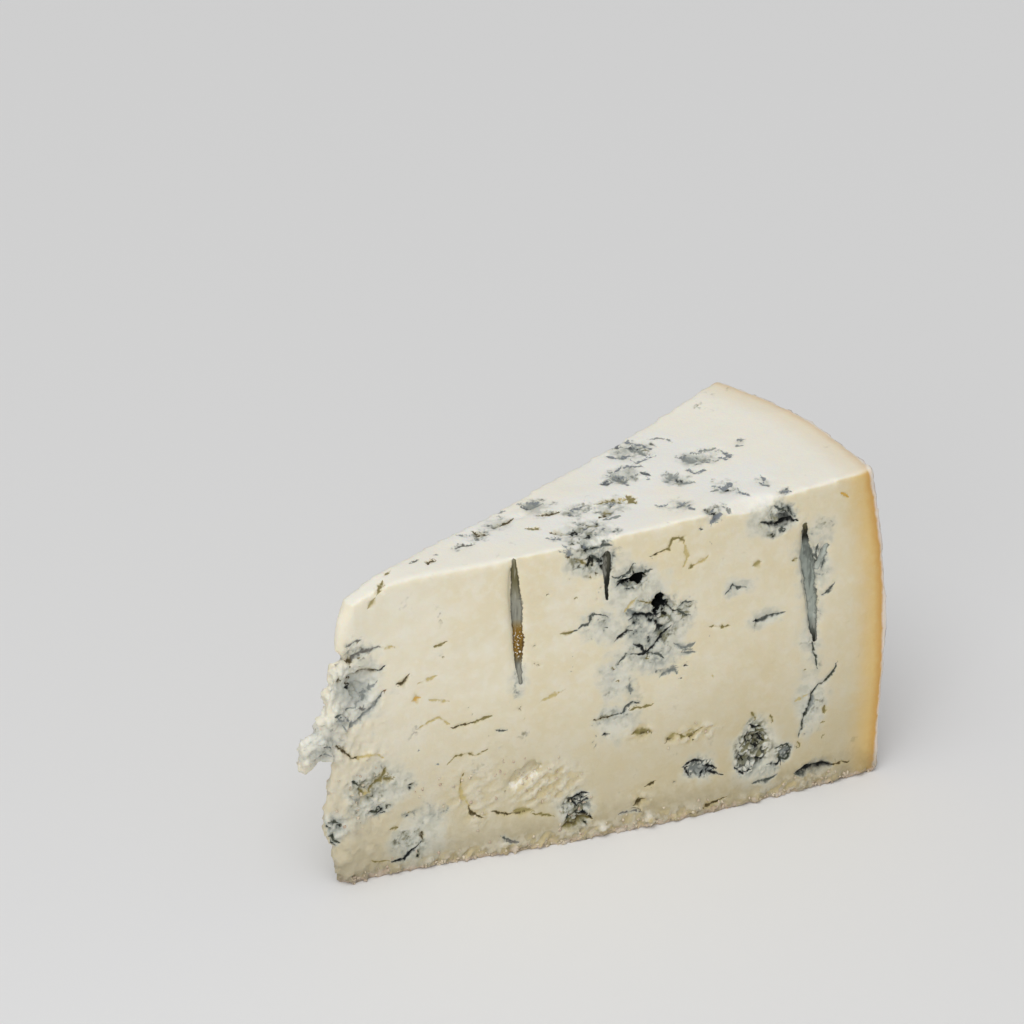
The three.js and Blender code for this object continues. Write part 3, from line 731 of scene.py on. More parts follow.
BACK_CHANNELS = [
    [
        (58.7, 81, 0.6, CHANNEL_OLIVE),
        (58.2, 66, 1.6, CHANNEL_GREY),
        (57.6, 54, 1.2, CHANNEL_GOLD),
        (57.3, 43, 0.4, CHANNEL_GREY),
    ],
    [
        (99.8, 86, 0.7, CHANNEL_BLACK),
        (100.7, 74, 1.9, CHANNEL_SLATE),
        (101.4, 63, 1.5, CHANNEL_SLATE),
        (102.2, 54, 0.4, CHANNEL_GREY),
    ],
]


def to_channels(first, second, channels):
    """Signed distance to the nearest channel in its half widths, and the tint there."""
    nearest = np.full(len(first), FAR)
    tints = np.zeros((len(first), 3))
    for places in channels:
        for (*start, start_half, start_tint), (*end, end_half, end_tint) in zip(places, places[1:]):
            share, off = to_segment(first, second, start, end)
            share = share / math.dist(start, end)
            gap = off / (start_half + share * (end_half - start_half))
            closer = np.abs(gap) < np.abs(nearest)
            blend = np.outer(1 - share, start_tint) + np.outer(share, end_tint)
            tints[closer] = blend[closer]
            nearest = np.where(closer, gap, nearest)
    return nearest, tints


def channels_at(points):
    """Signed distance to the nearest needle channel and its tint, on both cuts."""
    front, back = on_front(points), on_back(points)
    found = [to_channels(*front[:2], FRONT_CHANNELS), to_channels(*back[:2], BACK_CHANNELS)]
    return nearest_of(found, [front[2], back[2]], [FACE_REACH, FACE_REACH])


# The cracks: seams between curds that opened as the wire went through, tinged olive and
# yellow by old mould, and the rind's own slits. Torn patches are where the wire dragged soft
# curd out of the face. The back cut has the front's cracks, turned half round.
FRONT_CRACKS = [
    (0.30, YELLOW, (18, 42.5), (23, 43.5), (27, 41.5)),
    (0.45, UMBER, (27.5, 40.5), (31, 40.5), (33, 40.8)),
    (0.40, OLIVE, (32.5, 40.7), (35.5, 41), (38.5, 41.8)),
    (0.45, UMBER, (-4.5, 43.5), (-3, 42), (-0.5, 38.5), (1, 38)),
    (0.35, YELLOW, (0, 38), (5, 37.5), (8.5, 36)),
    (0.60, UMBER, (12.5, 56.5), (14.5, 57), (16, 58)),
    (0.30, YELLOW, (18, 55.5), (21, 56), (23.5, 57)),
    (0.30, YELLOW, (21.5, 49), (27, 48)),
    (0.30, YELLOW, (8, 68.5), (12, 68)),
    (0.35, OLIVE, (26, 30), (28, 31.5), (32, 31.5), (34, 31), (37.5, 32)),
    (0.40, OLIVE, (30.5, 26), (29.5, 25), (29.5, 23)),
    (0.45, YELLOW, (29.8, 23.4), (29.8, 19), (31.4, 16)),
    (0.50, UMBER, (31.5, 16.5), (32, 14), (35.5, 11.5)),
    (0.45, UMBER, (37.5, 13), (39.5, 12), (42, 11), (44.5, 11)),
    (1.30, MUSTARD, (44.5, 11.3), (48.3, 11.3)),
    (0.50, UMBER, (44, 11), (47, 10.8)),
    (0.35, OLIVE, (49, 10), (55, 8.5)),
    (0.35, OLIVE, (4.5, 6), (9.5, 4.5)),
    (0.30, YELLOW, (51.5, 43), (54.5, 44), (59, 45.5)),
    (0.35, OLIVE, (77, 35), (83.5, 36)),
    (0.45, OLIVE, (57.5, 62), (61, 62)),
    (0.30, YELLOW, (75.5, 65), (79, 69)),
    (0.40, UMBER, (82, 80), (85, 80.5)),
    (0.35, OLIVE, (84.5, 80.5), (87, 81), (88, 83.5), (90.5, 83.5)),
    (0.90, OLIVE, (90.6, 83.6), (91.4, 82.8)),
    (0.30, YELLOW, (91.5, 82), (93, 78.5), (92, 76)),
    (0.35, YELLOW, (93.5, 75), (95, 75.5), (98.5, 77.5)),
    (0.70, OLIVE, (93.6, 74.8), (95, 75.4)),
    (0.35, OLIVE, (99.5, 55.5), (103, 55.5), (105.5, 55)),
    (1.20, OLIVE, (78, 28.3), (82.5, 27.6)),
    (0.60, UMBER, (79, 27.8), (81.5, 27.4)),
    (0.90, MUSTARD, (87.8, 24), (89.6, 25.2)),
    (0.80, UMBER, (87.4, 23.4), (88.6, 24.4)),
    (0.35, OLIVE, (89.5, 25.4), (92, 24.2), (94, 24.4)),
    (1.00, MUSTARD, (94, 24.4), (96.4, 24.2)),
    (0.60, UMBER, (94, 23.8), (95.6, 23.6)),
    (0.35, OLIVE, (96.5, 24.5), (98.5, 25.5)),
    (0.40, ORANGE, (136.5, 88.5), (138.5, 87.2)),
    (0.30, YELLOW, (124.5, 28), (129, 29.5)),
    (0.40, OLIVE, (126, 15), (126.5, 13.5)),
    (1.20, YELLOW, (2, 27), (3.5, 26.5)),
    (1.20, ORANGE, (17, 51)),
    (0.35, YELLOW, (107, 28.5)),
    (0.35, YELLOW, (109, 45)),
    (0.40, YELLOW, (100.5, 41)),
    (0.35, YELLOW, (108.5, 37)),
    (0.50, UMBER, (97.5, 2.5), (100.5, 3), (104, 3.5)),
    (0.50, SLATE, (40.5, 5.5), (42.5, 4.2)),
    (0.50, TAUPE, (41.5, 4), (44.5, 3.2)),
]
TOP_CRACKS = [
    (0.40, YELLOW, (82.5, -0.5), (84.5, -2)),
    (0.35, YELLOW, (86.5, 1.5)),
    (0.35, YELLOW, (54.5, -19), (56, -20.5)),
]
RIND_MARKS = [
    (0.70, UMBER, (-13, 86), (-12.4, 60), (-11.4, 35), (-9.8, 9)),
    (0.55, UMBER, (6, 78), (6.6, 52), (7.6, 24), (8, 12)),
    (0.50, MOSS, (-6, 54), (-8, 47), (-8.6, 41)),
    (0.50, UMBER, (-17, 50), (-18.4, 43)),
    (0.60, MOSS, (19, 71), (18.6, 63)),
    (1.00, MOSS, (21, 43)),
    (0.90, OLIVE, (-25, 66)),
    (0.50, UMBER, (25, 30), (24.6, 20)),
    (0.80, MOSS, (-23, 14), (-22.6, 9)),
]


TURNED_RUN = 138
TURNED_RISE = 86


def turned_round(strokes):
    """The same strokes turned half round in the face, for the cut that faces away."""
    turned = []
    for half, stroke_tint, *places in strokes:
        moved_places = [(TURNED_RUN - run, TURNED_RISE - rise) for run, rise in places]
        turned.append((half, stroke_tint, *moved_places))
    return turned


FRONT_MARKS = FRONT_VEINS + FRONT_CRACKS
BACK_MARKS = BACK_VEINS + turned_round(FRONT_CRACKS)
TOP_MARKS = TOP_VEINS + TOP_CRACKS
TORN_PATCHES = [
    (53, 18, 12, 7, 1.0),
    (34, 20, 14, 12, 0.5),
    (96, 24.5, 8, 3.5, 0.9),
    (80, 28, 5, 3, 0.6),
    (62, 7, 6, 6, 0.7),
    (34, 13, 6, 6, 0.6),
    (3, 26, 9, 9, 0.5),
    (80, 8, 5, 5, 0.5),
    (60, 2, 70, 3.5, 0.6),
    (125, 2, 20, 3.5, 0.6),
]


# The skin's finest relief: the faces near mould, cracks and torn curd are halved, then every
# point sinks along its normal into grooves and pits, or stands proud as a flake of curd.
DETAIL_MOULD = 0.35
DETAIL_TORN = 0.45
DETAIL_REACH = 1.8
DETAIL_CHANNEL = 1.5
MARK_SINK = 0.8
MARK_SPREAD = 1.1
CHANNEL_SINK = 0.3
CHANNEL_WALL = 1.1, 0.8
CHANNEL_WANDER = 0.4
PIT_PITCH = 2.6
PIT_SINK = 0.7
PIT_EDGE = 0.35, 0.8
PIT_IN_MOULD = 0.5
CURD_PITCH = 2.6
SMALL_PITCH = 1.4
SMALL_SHARE = 0.25
CURD_SWELL = 0.8
CURD_ROUND = 0.6
CURD_LEVEL = 0.7
FELT_SWELL = 0.5
CRAG_PITCH = 1.6
HOLE_CRAG = 1.2
MOULD_CRAG = 0.3
TORN_CRAG = 0.4
FLAKE_PITCH = 1.6
FLAKE_STRETCH = 2.2
FLAKE_SLOPE = math.radians(25)
FLAKE_STEP = 0.2
TORN_LIFT = 0.8
TORN_FILL = 0.5
TORN_DEEPEST = 3
TIP_PITCH = 3.2
TIP_ROUGH = 0.8
TIP_CRAG = 0.55
TIP_END = 14
TIP_TOP = 75, 60
TIP_DENTS = [(67.2, 1.4, 2.4), (60.5, 4.5, 1.0)]
DENT_END = 3, -1
FACE_WAVE = 0.14
WAVE_PITCH = 8
RIND_FACING = 0.35, 0.75
RIND_SKIN = 5, 3
RIND_ROUGH = 0.25
RIND_FIBRE = 0.4
FIBRE_PITCH = 2.2
FIBRE_SHORTEN = 0.1
FOOT_ROUGH = 0.9
FOOT_HEIGHT = 4, 0.5
UNDERSIDE = -0.5
NOISE_FALLOFF = 0.9
NOISE_STEP = 2.0
HOLLOW_FROM = 0.5, 3.0
FRONT_HOLES = [
    (85, 65.5, 8, 6, 1),
    (79, 74, 6, 4, 1),
    (119, 83.5, 7, 4, 1),
    (132, 5.5, 7, 4, 1),
    (62, 11, 4, 3, 1),
    (62, 5, 4, 3, 1),
    (80, 6, 3, 3, 1),
]
BACK_HOLES = [
    (40, 34, 7, 4, 1),
    (84, 22, 5, 4, 1),
    (92, 52, 8, 4, 1),
    (122, 15, 7, 3, 1),
]
HOLE_FULL = 9
HOLE_EDGE = 0.2
CUT_FACING = 0.9
FRONT_OUTWARD = np.array([-math.sin(HALF_ANGLE), -math.cos(HALF_ANGLE), 0])
BACK_OUTWARD = FRONT_OUTWARD * (1, -1, 1)


def needs_detail(points):
    """True where a point lies in or beside something finer than a skin cell."""
    moved = wandering(points)
    grown = np.maximum(mould_at(moved), on_cuts(moved, FRONT_FELT, BACK_FELT))
    rough = (grown > DETAIL_MOULD) | (on_cuts(moved, TORN_PATCHES, TORN_PATCHES) > DETAIL_TORN)
    marked = np.abs(marks_at(moved)[0]) < DETAIL_REACH
    return marked | rough | (np.abs(channels_at(moved)[0]) < DETAIL_CHANNEL)


def sunk_under(points, normals, on_cut, outward):
    """How far each point lies below the gently bowed surface that best fits a whole cut."""
    run, rise, depth = on_cut(points)
    terms = np.column_stack([np.ones(len(run)), run, rise, run * run, rise * rise, run * rise])
    facing = normals @ outward > CUT_FACING
    bow = np.linalg.lstsq(terms[facing], depth[facing], rcond=None)[0]
    return depth - terms @ bow


def hollow_at(points, normals):
    """How far down inside a hole of either cut each point lies, and how near it is to one."""
    hollows = []
    nears = []
    cuts = [(on_front, FRONT_OUTWARD, FRONT_HOLES), (on_back, BACK_OUTWARD, BACK_HOLES)]
    for on_cut, outward, holes in cuts:
        run, rise, depth = on_cut(points)
        near = in_patches(run, rise, holes) * ease(depth, FACE_REACH, HOLE_FULL)
        below = sunk_under(points, normals, on_cut, outward)
        hollows.append(ease(below, *HOLLOW_FROM) * ease(near, 0, HOLE_EDGE))
        nears.append(near)
    return np.maximum(*hollows), np.maximum(*nears)


def halve_where(mesh, wanted):
    """Splits every face that has a wanted point into four."""
    shell = bmesh.new()
    shell.from_mesh(mesh)
    shell.verts.ensure_lookup_table()
    faces = [f for f in shell.faces if any(wanted[v.index] for v in f.verts)]
    edges = list(dict.fromkeys(e for f in faces for e in f.edges))
    bmesh.ops.subdivide_edges(shell, edges=edges, cuts=1, use_grid_fill=True)
    bmesh.ops.triangulate(shell, faces=[f for f in shell.faces if len(f.verts) > 4])
    shell.to_mesh(mesh)
    shell.free()


def curd_noise(points, pitch, octaves):
    """Smooth noise about zero, with lumps about a pitch across."""
    places = [Vector(p / pitch) for p in points]
    return np.array([noise.fractal(p, NOISE_FALLOFF, NOISE_STEP, octaves) for p in places])


def curd_seams(points, pitch):
    """How far each point lies from the seam between its curd and the next, in curd widths."""
    nearest_two = [noise.voronoi(Vector(p / pitch))[0][:2] for p in points]
    own, other = np.array(nearest_two).T
    return other - own


def flakes_at(points):
    """Torn curd as thin plates: noise cut into steps with steep, ragged edges."""
    drawn_out = points[:, 0] * math.cos(FLAKE_SLOPE) + points[:, 2] * math.sin(FLAKE_SLOPE)
    across = points[:, 2] * math.cos(FLAKE_SLOPE) - points[:, 0] * math.sin(FLAKE_SLOPE)
    laid = np.column_stack([drawn_out / FLAKE_STRETCH, points[:, 1], across])
    level = curd_noise(laid, FLAKE_PITCH, 4) / FLAKE_STEP
    whole = np.floor(level)
    return (whole + ease(level - whole, 0.5, 1.0)) * FLAKE_STEP


halve_where(cheese.data, needs_detail(points_of(cheese.data)))
smooth_points = points_of(cheese.data)
normals = np.zeros(len(smooth_points) * 3)
cheese.data.vertices.foreach_get("normal", normals)
normals = normals.reshape(-1, 3)
moved_points = wandering(smooth_points)
mark, mark_half, mark_tint = marks_at(moved_points)
mark_darkness = 1 - mark_tint.mean(axis=1) / 255
mould = mould_at(moved_points)
felt = on_cuts(moved_points, FRONT_FELT, BACK_FELT)
torn = on_cuts(moved_points, TORN_PATCHES, TORN_PATCHES)
small_curd = on_cuts(moved_points, FRONT_SMALL, BACK_SMALL)
channel, channel_tint = channels_at(smooth_points + CHANNEL_WANDER * (moved_points - smooth_points))
rind_depth = under_rind(smooth_points)
outward = smooth_points[:, :2] / np.hypot(smooth_points[:, 0], smooth_points[:, 1])[:, None]
facing_out = (normals[:, :2] * outward).sum(axis=1)
on_rind = ease(facing_out, *RIND_FACING) * ease(rind_depth, *RIND_SKIN)
hollow, near_hole = hollow_at(smooth_points, normals)
sunk = np.clip(sunk_under(smooth_points, normals, on_front, FRONT_OUTWARD), 0, TORN_DEEPEST)
pits = curd_noise(moved_points, PIT_PITCH, 3)
small_seams = curd_seams(moved_points, SMALL_PITCH)
seams = np.minimum(curd_seams(moved_points, CURD_PITCH), small_seams + SMALL_SHARE)
seams = seams + small_curd * (small_seams - seams)
flakes = flakes_at(moved_points)
crag = curd_noise(smooth_points, CRAG_PITCH, 4)
wave = curd_noise(smooth_points, WAVE_PITCH, 2)
tip_lumps = curd_noise(smooth_points, TIP_PITCH, 4)
fibres = curd_noise(smooth_points * (1, 1, FIBRE_SHORTEN), FIBRE_PITCH, 4)
up = smooth_points[:, 2]

lift = FACE_WAVE * wave
lift -= MARK_SINK * mark_half * mark_darkness * np.exp(-((mark / MARK_SPREAD) ** 2))
lift -= CHANNEL_SINK * ease(np.abs(channel), *CHANNEL_WALL)
lift -= PIT_SINK * mould * ease(pits + PIT_IN_MOULD * mould, *PIT_EDGE)
lift += CURD_SWELL * np.maximum(mould, FELT_SWELL * felt) * (ease(seams, 0, CURD_ROUND) - CURD_LEVEL)
lift += crag * (MOULD_CRAG * mould + TORN_CRAG * torn + HOLE_CRAG * near_hole)
lift += (TORN_LIFT * flakes + TORN_FILL * sunk * (1 - near_hole)) * torn
at_tip = ease(smooth_points[:, 0], TIP_END, 0) * ease(up, *TIP_TOP)
lift += (TIP_ROUGH * tip_lumps + TIP_CRAG * crag) * at_tip
for dent_height, dent_half, dent_depth in TIP_DENTS:
    dent = np.exp(-(((up - dent_height) / dent_half) ** 2))
    lift -= dent_depth * dent * ease(smooth_points[:, 0], *DENT_END)
lift += (RIND_ROUGH * crag + RIND_FIBRE * fibres) * on_rind
lift += FOOT_ROUGH * crag * ease(up, *FOOT_HEIGHT)
lift *= np.where(normals[:, 2] < UNDERSIDE, 0, 1)
cheese.data.shade_smooth()
place_points(cheese.data, smooth_points + lift[:, None] * normals)

# What the finish reads: each point's own numbers and tints, kept on the mesh by name.
SHOWN_WITHIN = 3
MARK_LIMIT = 9
WARM_LEAD = 12
GOLD_LEAD = 50, 80


def tint(red, green, blue):
    """A colour as seen on a screen, 0 to 255, in the linear light that shaders use."""
    return (*Color((red / 255, green / 255, blue / 255)).from_srgb_to_scene_linear(), 1)


def keep_on(mesh, name, values):
    """Stores one number for each point under a name that the material reads."""
    mesh.attributes.new(name, "FLOAT", "POINT").data.foreach_set("value", values.astype(np.float32))


def keep_tints(mesh, name, tints):
    """Stores one screen colour for each point, in linear light."""
    colours = np.array([tint(*screen) for screen in tints])
    mesh.attributes.new(name, "FLOAT_COLOR", "POINT").data.foreach_set("color", colours.ravel())


kept_numbers = {
    "mark": np.clip(mark, -MARK_LIMIT, MARK_LIMIT),
    "mark_half": mark_half,
    "mark_close": ease(np.abs(mark), SHOWN_WITHIN, 1),
    "mark_dark": mark_darkness,
    "mould": mould,
    "olive": on_cuts(moved_points, FRONT_OLIVE, BACK_OLIVE),
    "felt": felt,
    "seams": seams,
    "small_curd": small_curd,
    "hollow": hollow,
    "pits": pits,
    "torn": torn,
    "flakes": flakes,
    "bleach": on_cuts(moved_points, FRONT_BLEACH, BACK_PATCHES),
    "frost": on_top_face(moved_points, TOP_BLEACH),
    "channel": np.clip(np.abs(channel), 0, MARK_LIMIT),
    "gold": ease(channel_tint[:, 0] - channel_tint[:, 2], *GOLD_LEAD),
    "rind_depth": rind_depth,
    "on_rind": on_rind,
    "upward": normals[:, 2],
}
for kept_name, kept_values in kept_numbers.items():
    keep_on(cheese.data, kept_name, kept_values)
warm_marks = mark_tint[:, 0] > mark_tint[:, 2] + WARM_LEAD
keep_tints(cheese.data, "mark_tint", mark_tint)
keep_tints(cheese.data, "rim_tint", np.where(warm_marks[:, None], YELLOW, MIST))
keep_tints(cheese.data, "lining", channel_tint)


class Wire:
    """A node's socket: sums of it with numbers and other sockets add Math nodes."""

    def __init__(self, nodes, socket):
        self.nodes = nodes
        self.socket = socket

    def math(self, operation, *values):
        return self.nodes.node("ShaderNodeMath", {"operation": operation}, dict(enumerate(values)))

    def __add__(self, other):
        return self.math("ADD", self, other)

    def __radd__(self, other):
        return self.math("ADD", other, self)

    def __sub__(self, other):
        return self.math("SUBTRACT", self, other)

    def __rsub__(self, other):
        return self.math("SUBTRACT", other, self)

    def __mul__(self, other):
        return self.math("MULTIPLY", self, other)

    def __rmul__(self, other):
        return self.math("MULTIPLY", other, self)

    def __truediv__(self, other):
        return self.math("DIVIDE", self, other)

    def __rtruediv__(self, other):
        return self.math("DIVIDE", other, self)

    def __abs__(self):
        return self.math("ABSOLUTE", self)


class Nodes:
    """A tree of nodes, and the one way to add to it."""

    def __init__(self, tree):
        self.tree = tree

    def node(self, kind, settings, sockets, out=0):
        """Adds a node: its settings first, then its sockets' values or links."""
        made = self.tree.nodes.new(kind)
        for name, value in settings.items():
            setattr(made, name, value)
        for name, value in sockets.items():
            if isinstance(value, Wire):
                self.tree.links.new(value.socket, made.inputs[name])
            else:
                made.inputs[name].default_value = value
        return Wire(self, made.outputs[out]) if made.outputs else None


class Finish(Nodes):
    """A material and the nodes that make it."""

    def __init__(self, name):
        self.material = bpy.data.materials.new(name)
        self.material.use_nodes = True
        super().__init__(self.material.node_tree)
        self.tree.nodes.clear()

    def value(self, name):
        """A number stored on the mesh's points."""
        return self.node("ShaderNodeAttribute", {"attribute_name": name}, {}, "Fac")

    def tone(self, name):
        """A colour stored on the mesh's points."""
        return self.node("ShaderNodeAttribute", {"attribute_name": name}, {}, "Color")

    def mix(self, share, first, second):
        """One colour turning into another as share goes from 0 to 1."""
        return self.node("ShaderNodeMix", {"data_type": "RGBA"}, {0: share, 6: first, 7: second}, 2)

    def layered(self, colour, layers):
        """A colour under others laid over it in turn: where each lies, how strongly, and which it is."""
        for share, strength, tone in layers:
            colour = self.mix(share * strength, colour, tone)
        return colour

    def rise(self, value, start, end):
        """0 before start, 1 after end, and a smooth rise between."""
        limits = {"Value": value, "From Min": start, "From Max": end}
        return self.node("ShaderNodeMapRange", {"interpolation_type": "SMOOTHSTEP"}, limits)

    def fall(self, value, start, end):
        """1 before start, 0 after end."""
        return 1 - self.rise(value, start, end)

    def grain(self, place, pitch, detail):
        """Noise from 0 to 1 whose lumps are about a pitch across, in millimetres."""
        sockets = {"Vector": place, "Scale": 1 / (pitch * MM), "Detail": detail}
        return self.node("ShaderNodeTexNoise", {}, sockets, "Fac")

    def stretched(self, place, amounts):
        """A place with its three axes drawn out by these amounts."""
        return self.node("ShaderNodeVectorMath", {"operation": "MULTIPLY"}, {0: place, 1: amounts})

    def glossed(self, sockets):
        """A Principled shader."""
        return self.node("ShaderNodeBsdfPrincipled", {}, sockets, "BSDF")

    def show(self, shader):
        """Makes a shader the whole surface."""
        self.node("ShaderNodeOutputMaterial", {}, {"Surface": shader})


# The paste's finish: ivory and damp, whiter beside mould, warmer where it is clean, yellow under the
# rind. Painted light makes it paler on top and towards the point; painted shade, with some real
# yellowing, darkens it low down, at the foot and towards the rind. Blue-black mould lines the gaps
# between curds; cracks are olive.
PASTE_CREAM = tint(234, 224, 194)
PASTE_PALE_AND_PAINTED_LIGHT = tint(244, 240, 226)
PASTE_WARM = tint(229, 213, 172)
PASTE_HALO = tint(231, 229, 216)
PASTE_LOW_YELLOW_AND_SHADE = tint(176, 163, 126)
BLEACH_PALE = tint(222, 221, 208)
BLEACH_GREY = tint(190, 190, 174)
TOP_FROST = tint(241, 240, 233)
PAINTED_RINDWARD_SHADE = tint(206, 190, 150)
FELT_PALE = tint(218, 219, 211)
FELT_GREY = tint(178, 182, 176)
MOULD_SMOKE_AND_SEAM_SHADE = tint(168, 172, 162)
MOULD_BLUE = tint(98, 105, 100)
MOULD_OLIVE = tint(118, 114, 78)
MOULD_BLACK_AND_SHADE = tint(26, 28, 28)
CREASE_WARM_SHADE = tint(212, 194, 142)
FOOT_PAINTED_SHADE = tint(134, 122, 92)
BASE_CRUST = tint(206, 186, 168)
RIND_YELLOW = tint(224, 187, 106)
RIND_OCHRE = tint(206, 156, 74)
RIND_BLOOM = tint(240, 232, 222)
RIND_ROSE = tint(223, 207, 194)
RIND_TAUPE = tint(190, 174, 160)
RIND_TAN = tint(182, 152, 116)
RIND_MOULD = tint(152, 152, 150)
RIND_DARK = tint(100, 99, 96)

GRAIN_PITCHES = {"broad": 24, "patchy": 8, "speckle": 2.4, "fine": 0.9}
GRAIN_DETAIL = 3
POINTWARD_LIGHT_ALONG = -80, 0
RINDWARD_SHADE_ALONG = -20, 80
LOW_YELLOW_AND_SHADE_HEIGHT = 0, 60
YELLOW_DEPTH = 2, 12
OCHRE_DEPTH = 0.8, 4.0
BLOOM_DEPTH = 0.5, 1.5
WORN_HEIGHT = 0, 22
FOOT_SHADE_HEIGHT = 0, 12
CRUST_HEIGHT = 0.3, 1.8
STRAND_STRETCH = (1, 1, 0.16)
STRAND_PITCH = 0.9
SHEAF_PITCH = 5
STAIN_STRETCH = (1, 1, 0.45)
STAIN_PITCH = 11
STREAK_STRETCH = (1, 1, 0.12)
STREAK_PITCH = 1.6
CRYSTAL_PITCH = 0.55
SMEAR_STRETCH = (0.35, 0.35, 1)
SMEAR_PITCH = 1.4
RELIEF_STRENGTH = 0.6
RELIEF_DEPTH = 0.3
GLOW_SHARE = 0.25
GLOW_REACHES = (1.0, 0.7, 0.4)
GLOW_DEPTH = 1.5
DULL_ROUGHNESS = 0.95
DULL_SHEEN = 0.05

paste = Finish("blue cheese")
place = paste.node("ShaderNodeTexCoord", {}, {}, "Object")
grains = {name: paste.grain(place, pitch, GRAIN_DETAIL) for name, pitch in GRAIN_PITCHES.items()}
broad, patchy, speckle, fine = grains.values()


def uneven(**reaches):
    """Noise about zero, from the named grains, each as far as its reach."""
    return sum((grains[name] - 0.5) * reach for name, reach in reaches.items())


# Where each thing shows: mould grows from a smoky tinge to black as its share goes up.
mould_share = paste.value("mould")
small_share = paste.value("small_curd")
felt_share = paste.value("felt")
torn_share = paste.value("torn")
hollow_share = paste.value("hollow")
mark_dark = paste.value("mark_dark")
mark_close = paste.value("mark_close")
on_top = paste.rise(paste.value("upward"), 0.3, 0.9)
mottle = patchy * 0.5 + speckle * 0.5
dust = fine * 0.5 + speckle * 0.5
cover = paste.value("pits") + uneven(speckle=1.4, fine=1.6) + mould_share * 0.95
mouldy = paste.rise(mould_share, 0.05, 0.3)
smoke = paste.rise(cover, 0.2, 1.0) * mouldy
blue = paste.rise(cover, 0.65, 1.25) * mouldy
hole = paste.rise(cover - small_share * 0.35, 1.05, 1.35) * mouldy
seam = paste.value("seams") + uneven(speckle=0.3, fine=0.5)
# Grey painted towards the seams between curds in mould: partly the mould's smoky tinge, partly painted
# shade in the recesses between the curds.
seam_shade = paste.fall(seam, 0.0, 0.5) * paste.rise(mould_share, 0.2, 0.6)
seam_line = paste.fall(seam, 0.0, 0.22) * paste.rise(mould_share, 0.25, 0.65)
seam_line = seam_line * paste.rise(mottle, 0.44, 0.56)
seam_pick = mould_share * 0.6 + uneven(patchy=2.2) + small_share * 0.35
seam_dark = paste.fall(seam - small_share * 0.12, 0.0, 0.18) * paste.rise(seam_pick, 0.3, 0.7)
ragged = uneven(speckle=1.1, fine=1.3) / paste.value("mark_half")
mark_edge = abs(paste.value("mark")) + ragged * (1 + on_top * 1.3 + (1 - mark_dark) * 0.6)
mark_near = paste.rise(mark_close, 0.2, 0.6)
mark_line = paste.fall(mark_edge, 0.0, 1.5) * mark_near * (0.55 + paste.rise(speckle, 0.4, 0.6) * 0.3)
mark_core = paste.fall(mark_edge, 0.1, 1.0) * mark_near * (0.3 + mark_dark * 0.75)
mark_rim = paste.fall(mark_edge, 0.4, 3.2) * mark_close
channel_edge = paste.value("channel") + uneven(speckle=0.9, fine=0.8)
channel_in = paste.fall(channel_edge, 0.85, 1.15)
# The channel's rim is painted dark: partly its mould outline, partly painted shade on its walls.
channel_rim_mould_and_shade = channel_in * paste.rise(channel_edge, 0.55, 0.95)
# Inside the cut holes the paste is painted black: their mould lining together with painted shade in
# their depth.
hollow_mould_and_shade = paste.rise(hollow_share + uneven(speckle=1.5, fine=1.6), 0.4, 0.65)
hollow_mould_and_shade = hollow_mould_and_shade * paste.rise(hollow_share, 0.05, 0.3)
# On torn patches the raised flakes are painted paler, partly the torn curd's own white and partly
# painted light, and their low steps darker and warmer, as painted shade in the recesses.
flake = paste.value("flakes") + uneven(fine=0.3)
whitened_and_lit = paste.rise(flake, -0.1, 0.3) * torn_share
crease_shade = paste.fall(flake, -0.35, 0.0) * paste.rise(torn_share, 0.2, 0.7)
bleach_share = paste.rise(paste.value("bleach") + uneven(patchy=1.2, speckle=0.6), 0.25, 0.9)
frost_share = paste.rise(paste.value("frost") + uneven(patchy=1.2), 0.2, 0.8) * on_top
halo_share = paste.rise(mould_share + uneven(patchy=0.7), 0.1, 0.7)
crust_share = paste.rise(paste.value("on_rind") + uneven(speckle=0.5), 0.3, 0.5)
rind_strength = 1 - on_top * 0.65
depth_in = paste.value("rind_depth") + uneven(speckle=1.2)
along = paste.node("ShaderNodeSeparateXYZ", {}, {0: place}, "X") / MM
height_up = paste.node("ShaderNodeSeparateXYZ", {}, {0: place}, "Z") / MM
base_up = height_up + uneven(speckle=7, fine=2)

# The rind's crust: pink and grey strands that run up it, dusted white, and worn at the foot.
upright = paste.stretched(place, STRAND_STRETCH)
strand = paste.grain(upright, STRAND_PITCH, 5)
sheaf = paste.grain(upright, SHEAF_PITCH, 4)
stain = paste.grain(paste.stretched(place, STAIN_STRETCH), STAIN_PITCH, 5) + (strand - 0.5) * 0.4
worn = paste.fall(height_up + (sheaf - 0.5) * 40, *WORN_HEIGHT) * paste.rise(strand, 0.4, 0.6)
crust = paste.layered(
    RIND_BLOOM,
    [
        (paste.rise(sheaf, 0.38, 0.62), 1, RIND_ROSE),
        (paste.rise(strand, 0.48, 0.68), 0.6, RIND_TAUPE),
        (paste.rise(stain, 0.5, 0.68), 0.65, RIND_MOULD),
        (paste.rise(stain, 0.64, 0.78), 0.5, RIND_DARK),
        (paste.rise(dust, 0.52, 0.62), 0.5, RIND_BLOOM),
        (worn, 0.6, RIND_TAN),
    ],
)

# The lining of the needle channels: streaks that run down it, and crystals where it is gold.
streaks = paste.grain(paste.stretched(place, STREAK_STRETCH), STREAK_PITCH, 3)
crystals = paste.rise(paste.grain(place, CRYSTAL_PITCH, 2), 0.6, 0.68)
lining = paste.layered(
    paste.tone("lining"),
    [
        (paste.rise(streaks, 0.5, 0.66), 0.5, MOULD_BLACK_AND_SHADE),
        (paste.fall(streaks, 0.34, 0.46), 0.25, PASTE_HALO),
        (crystals * paste.value("gold"), 0.9, PASTE_PALE_AND_PAINTED_LIGHT),
    ],
)

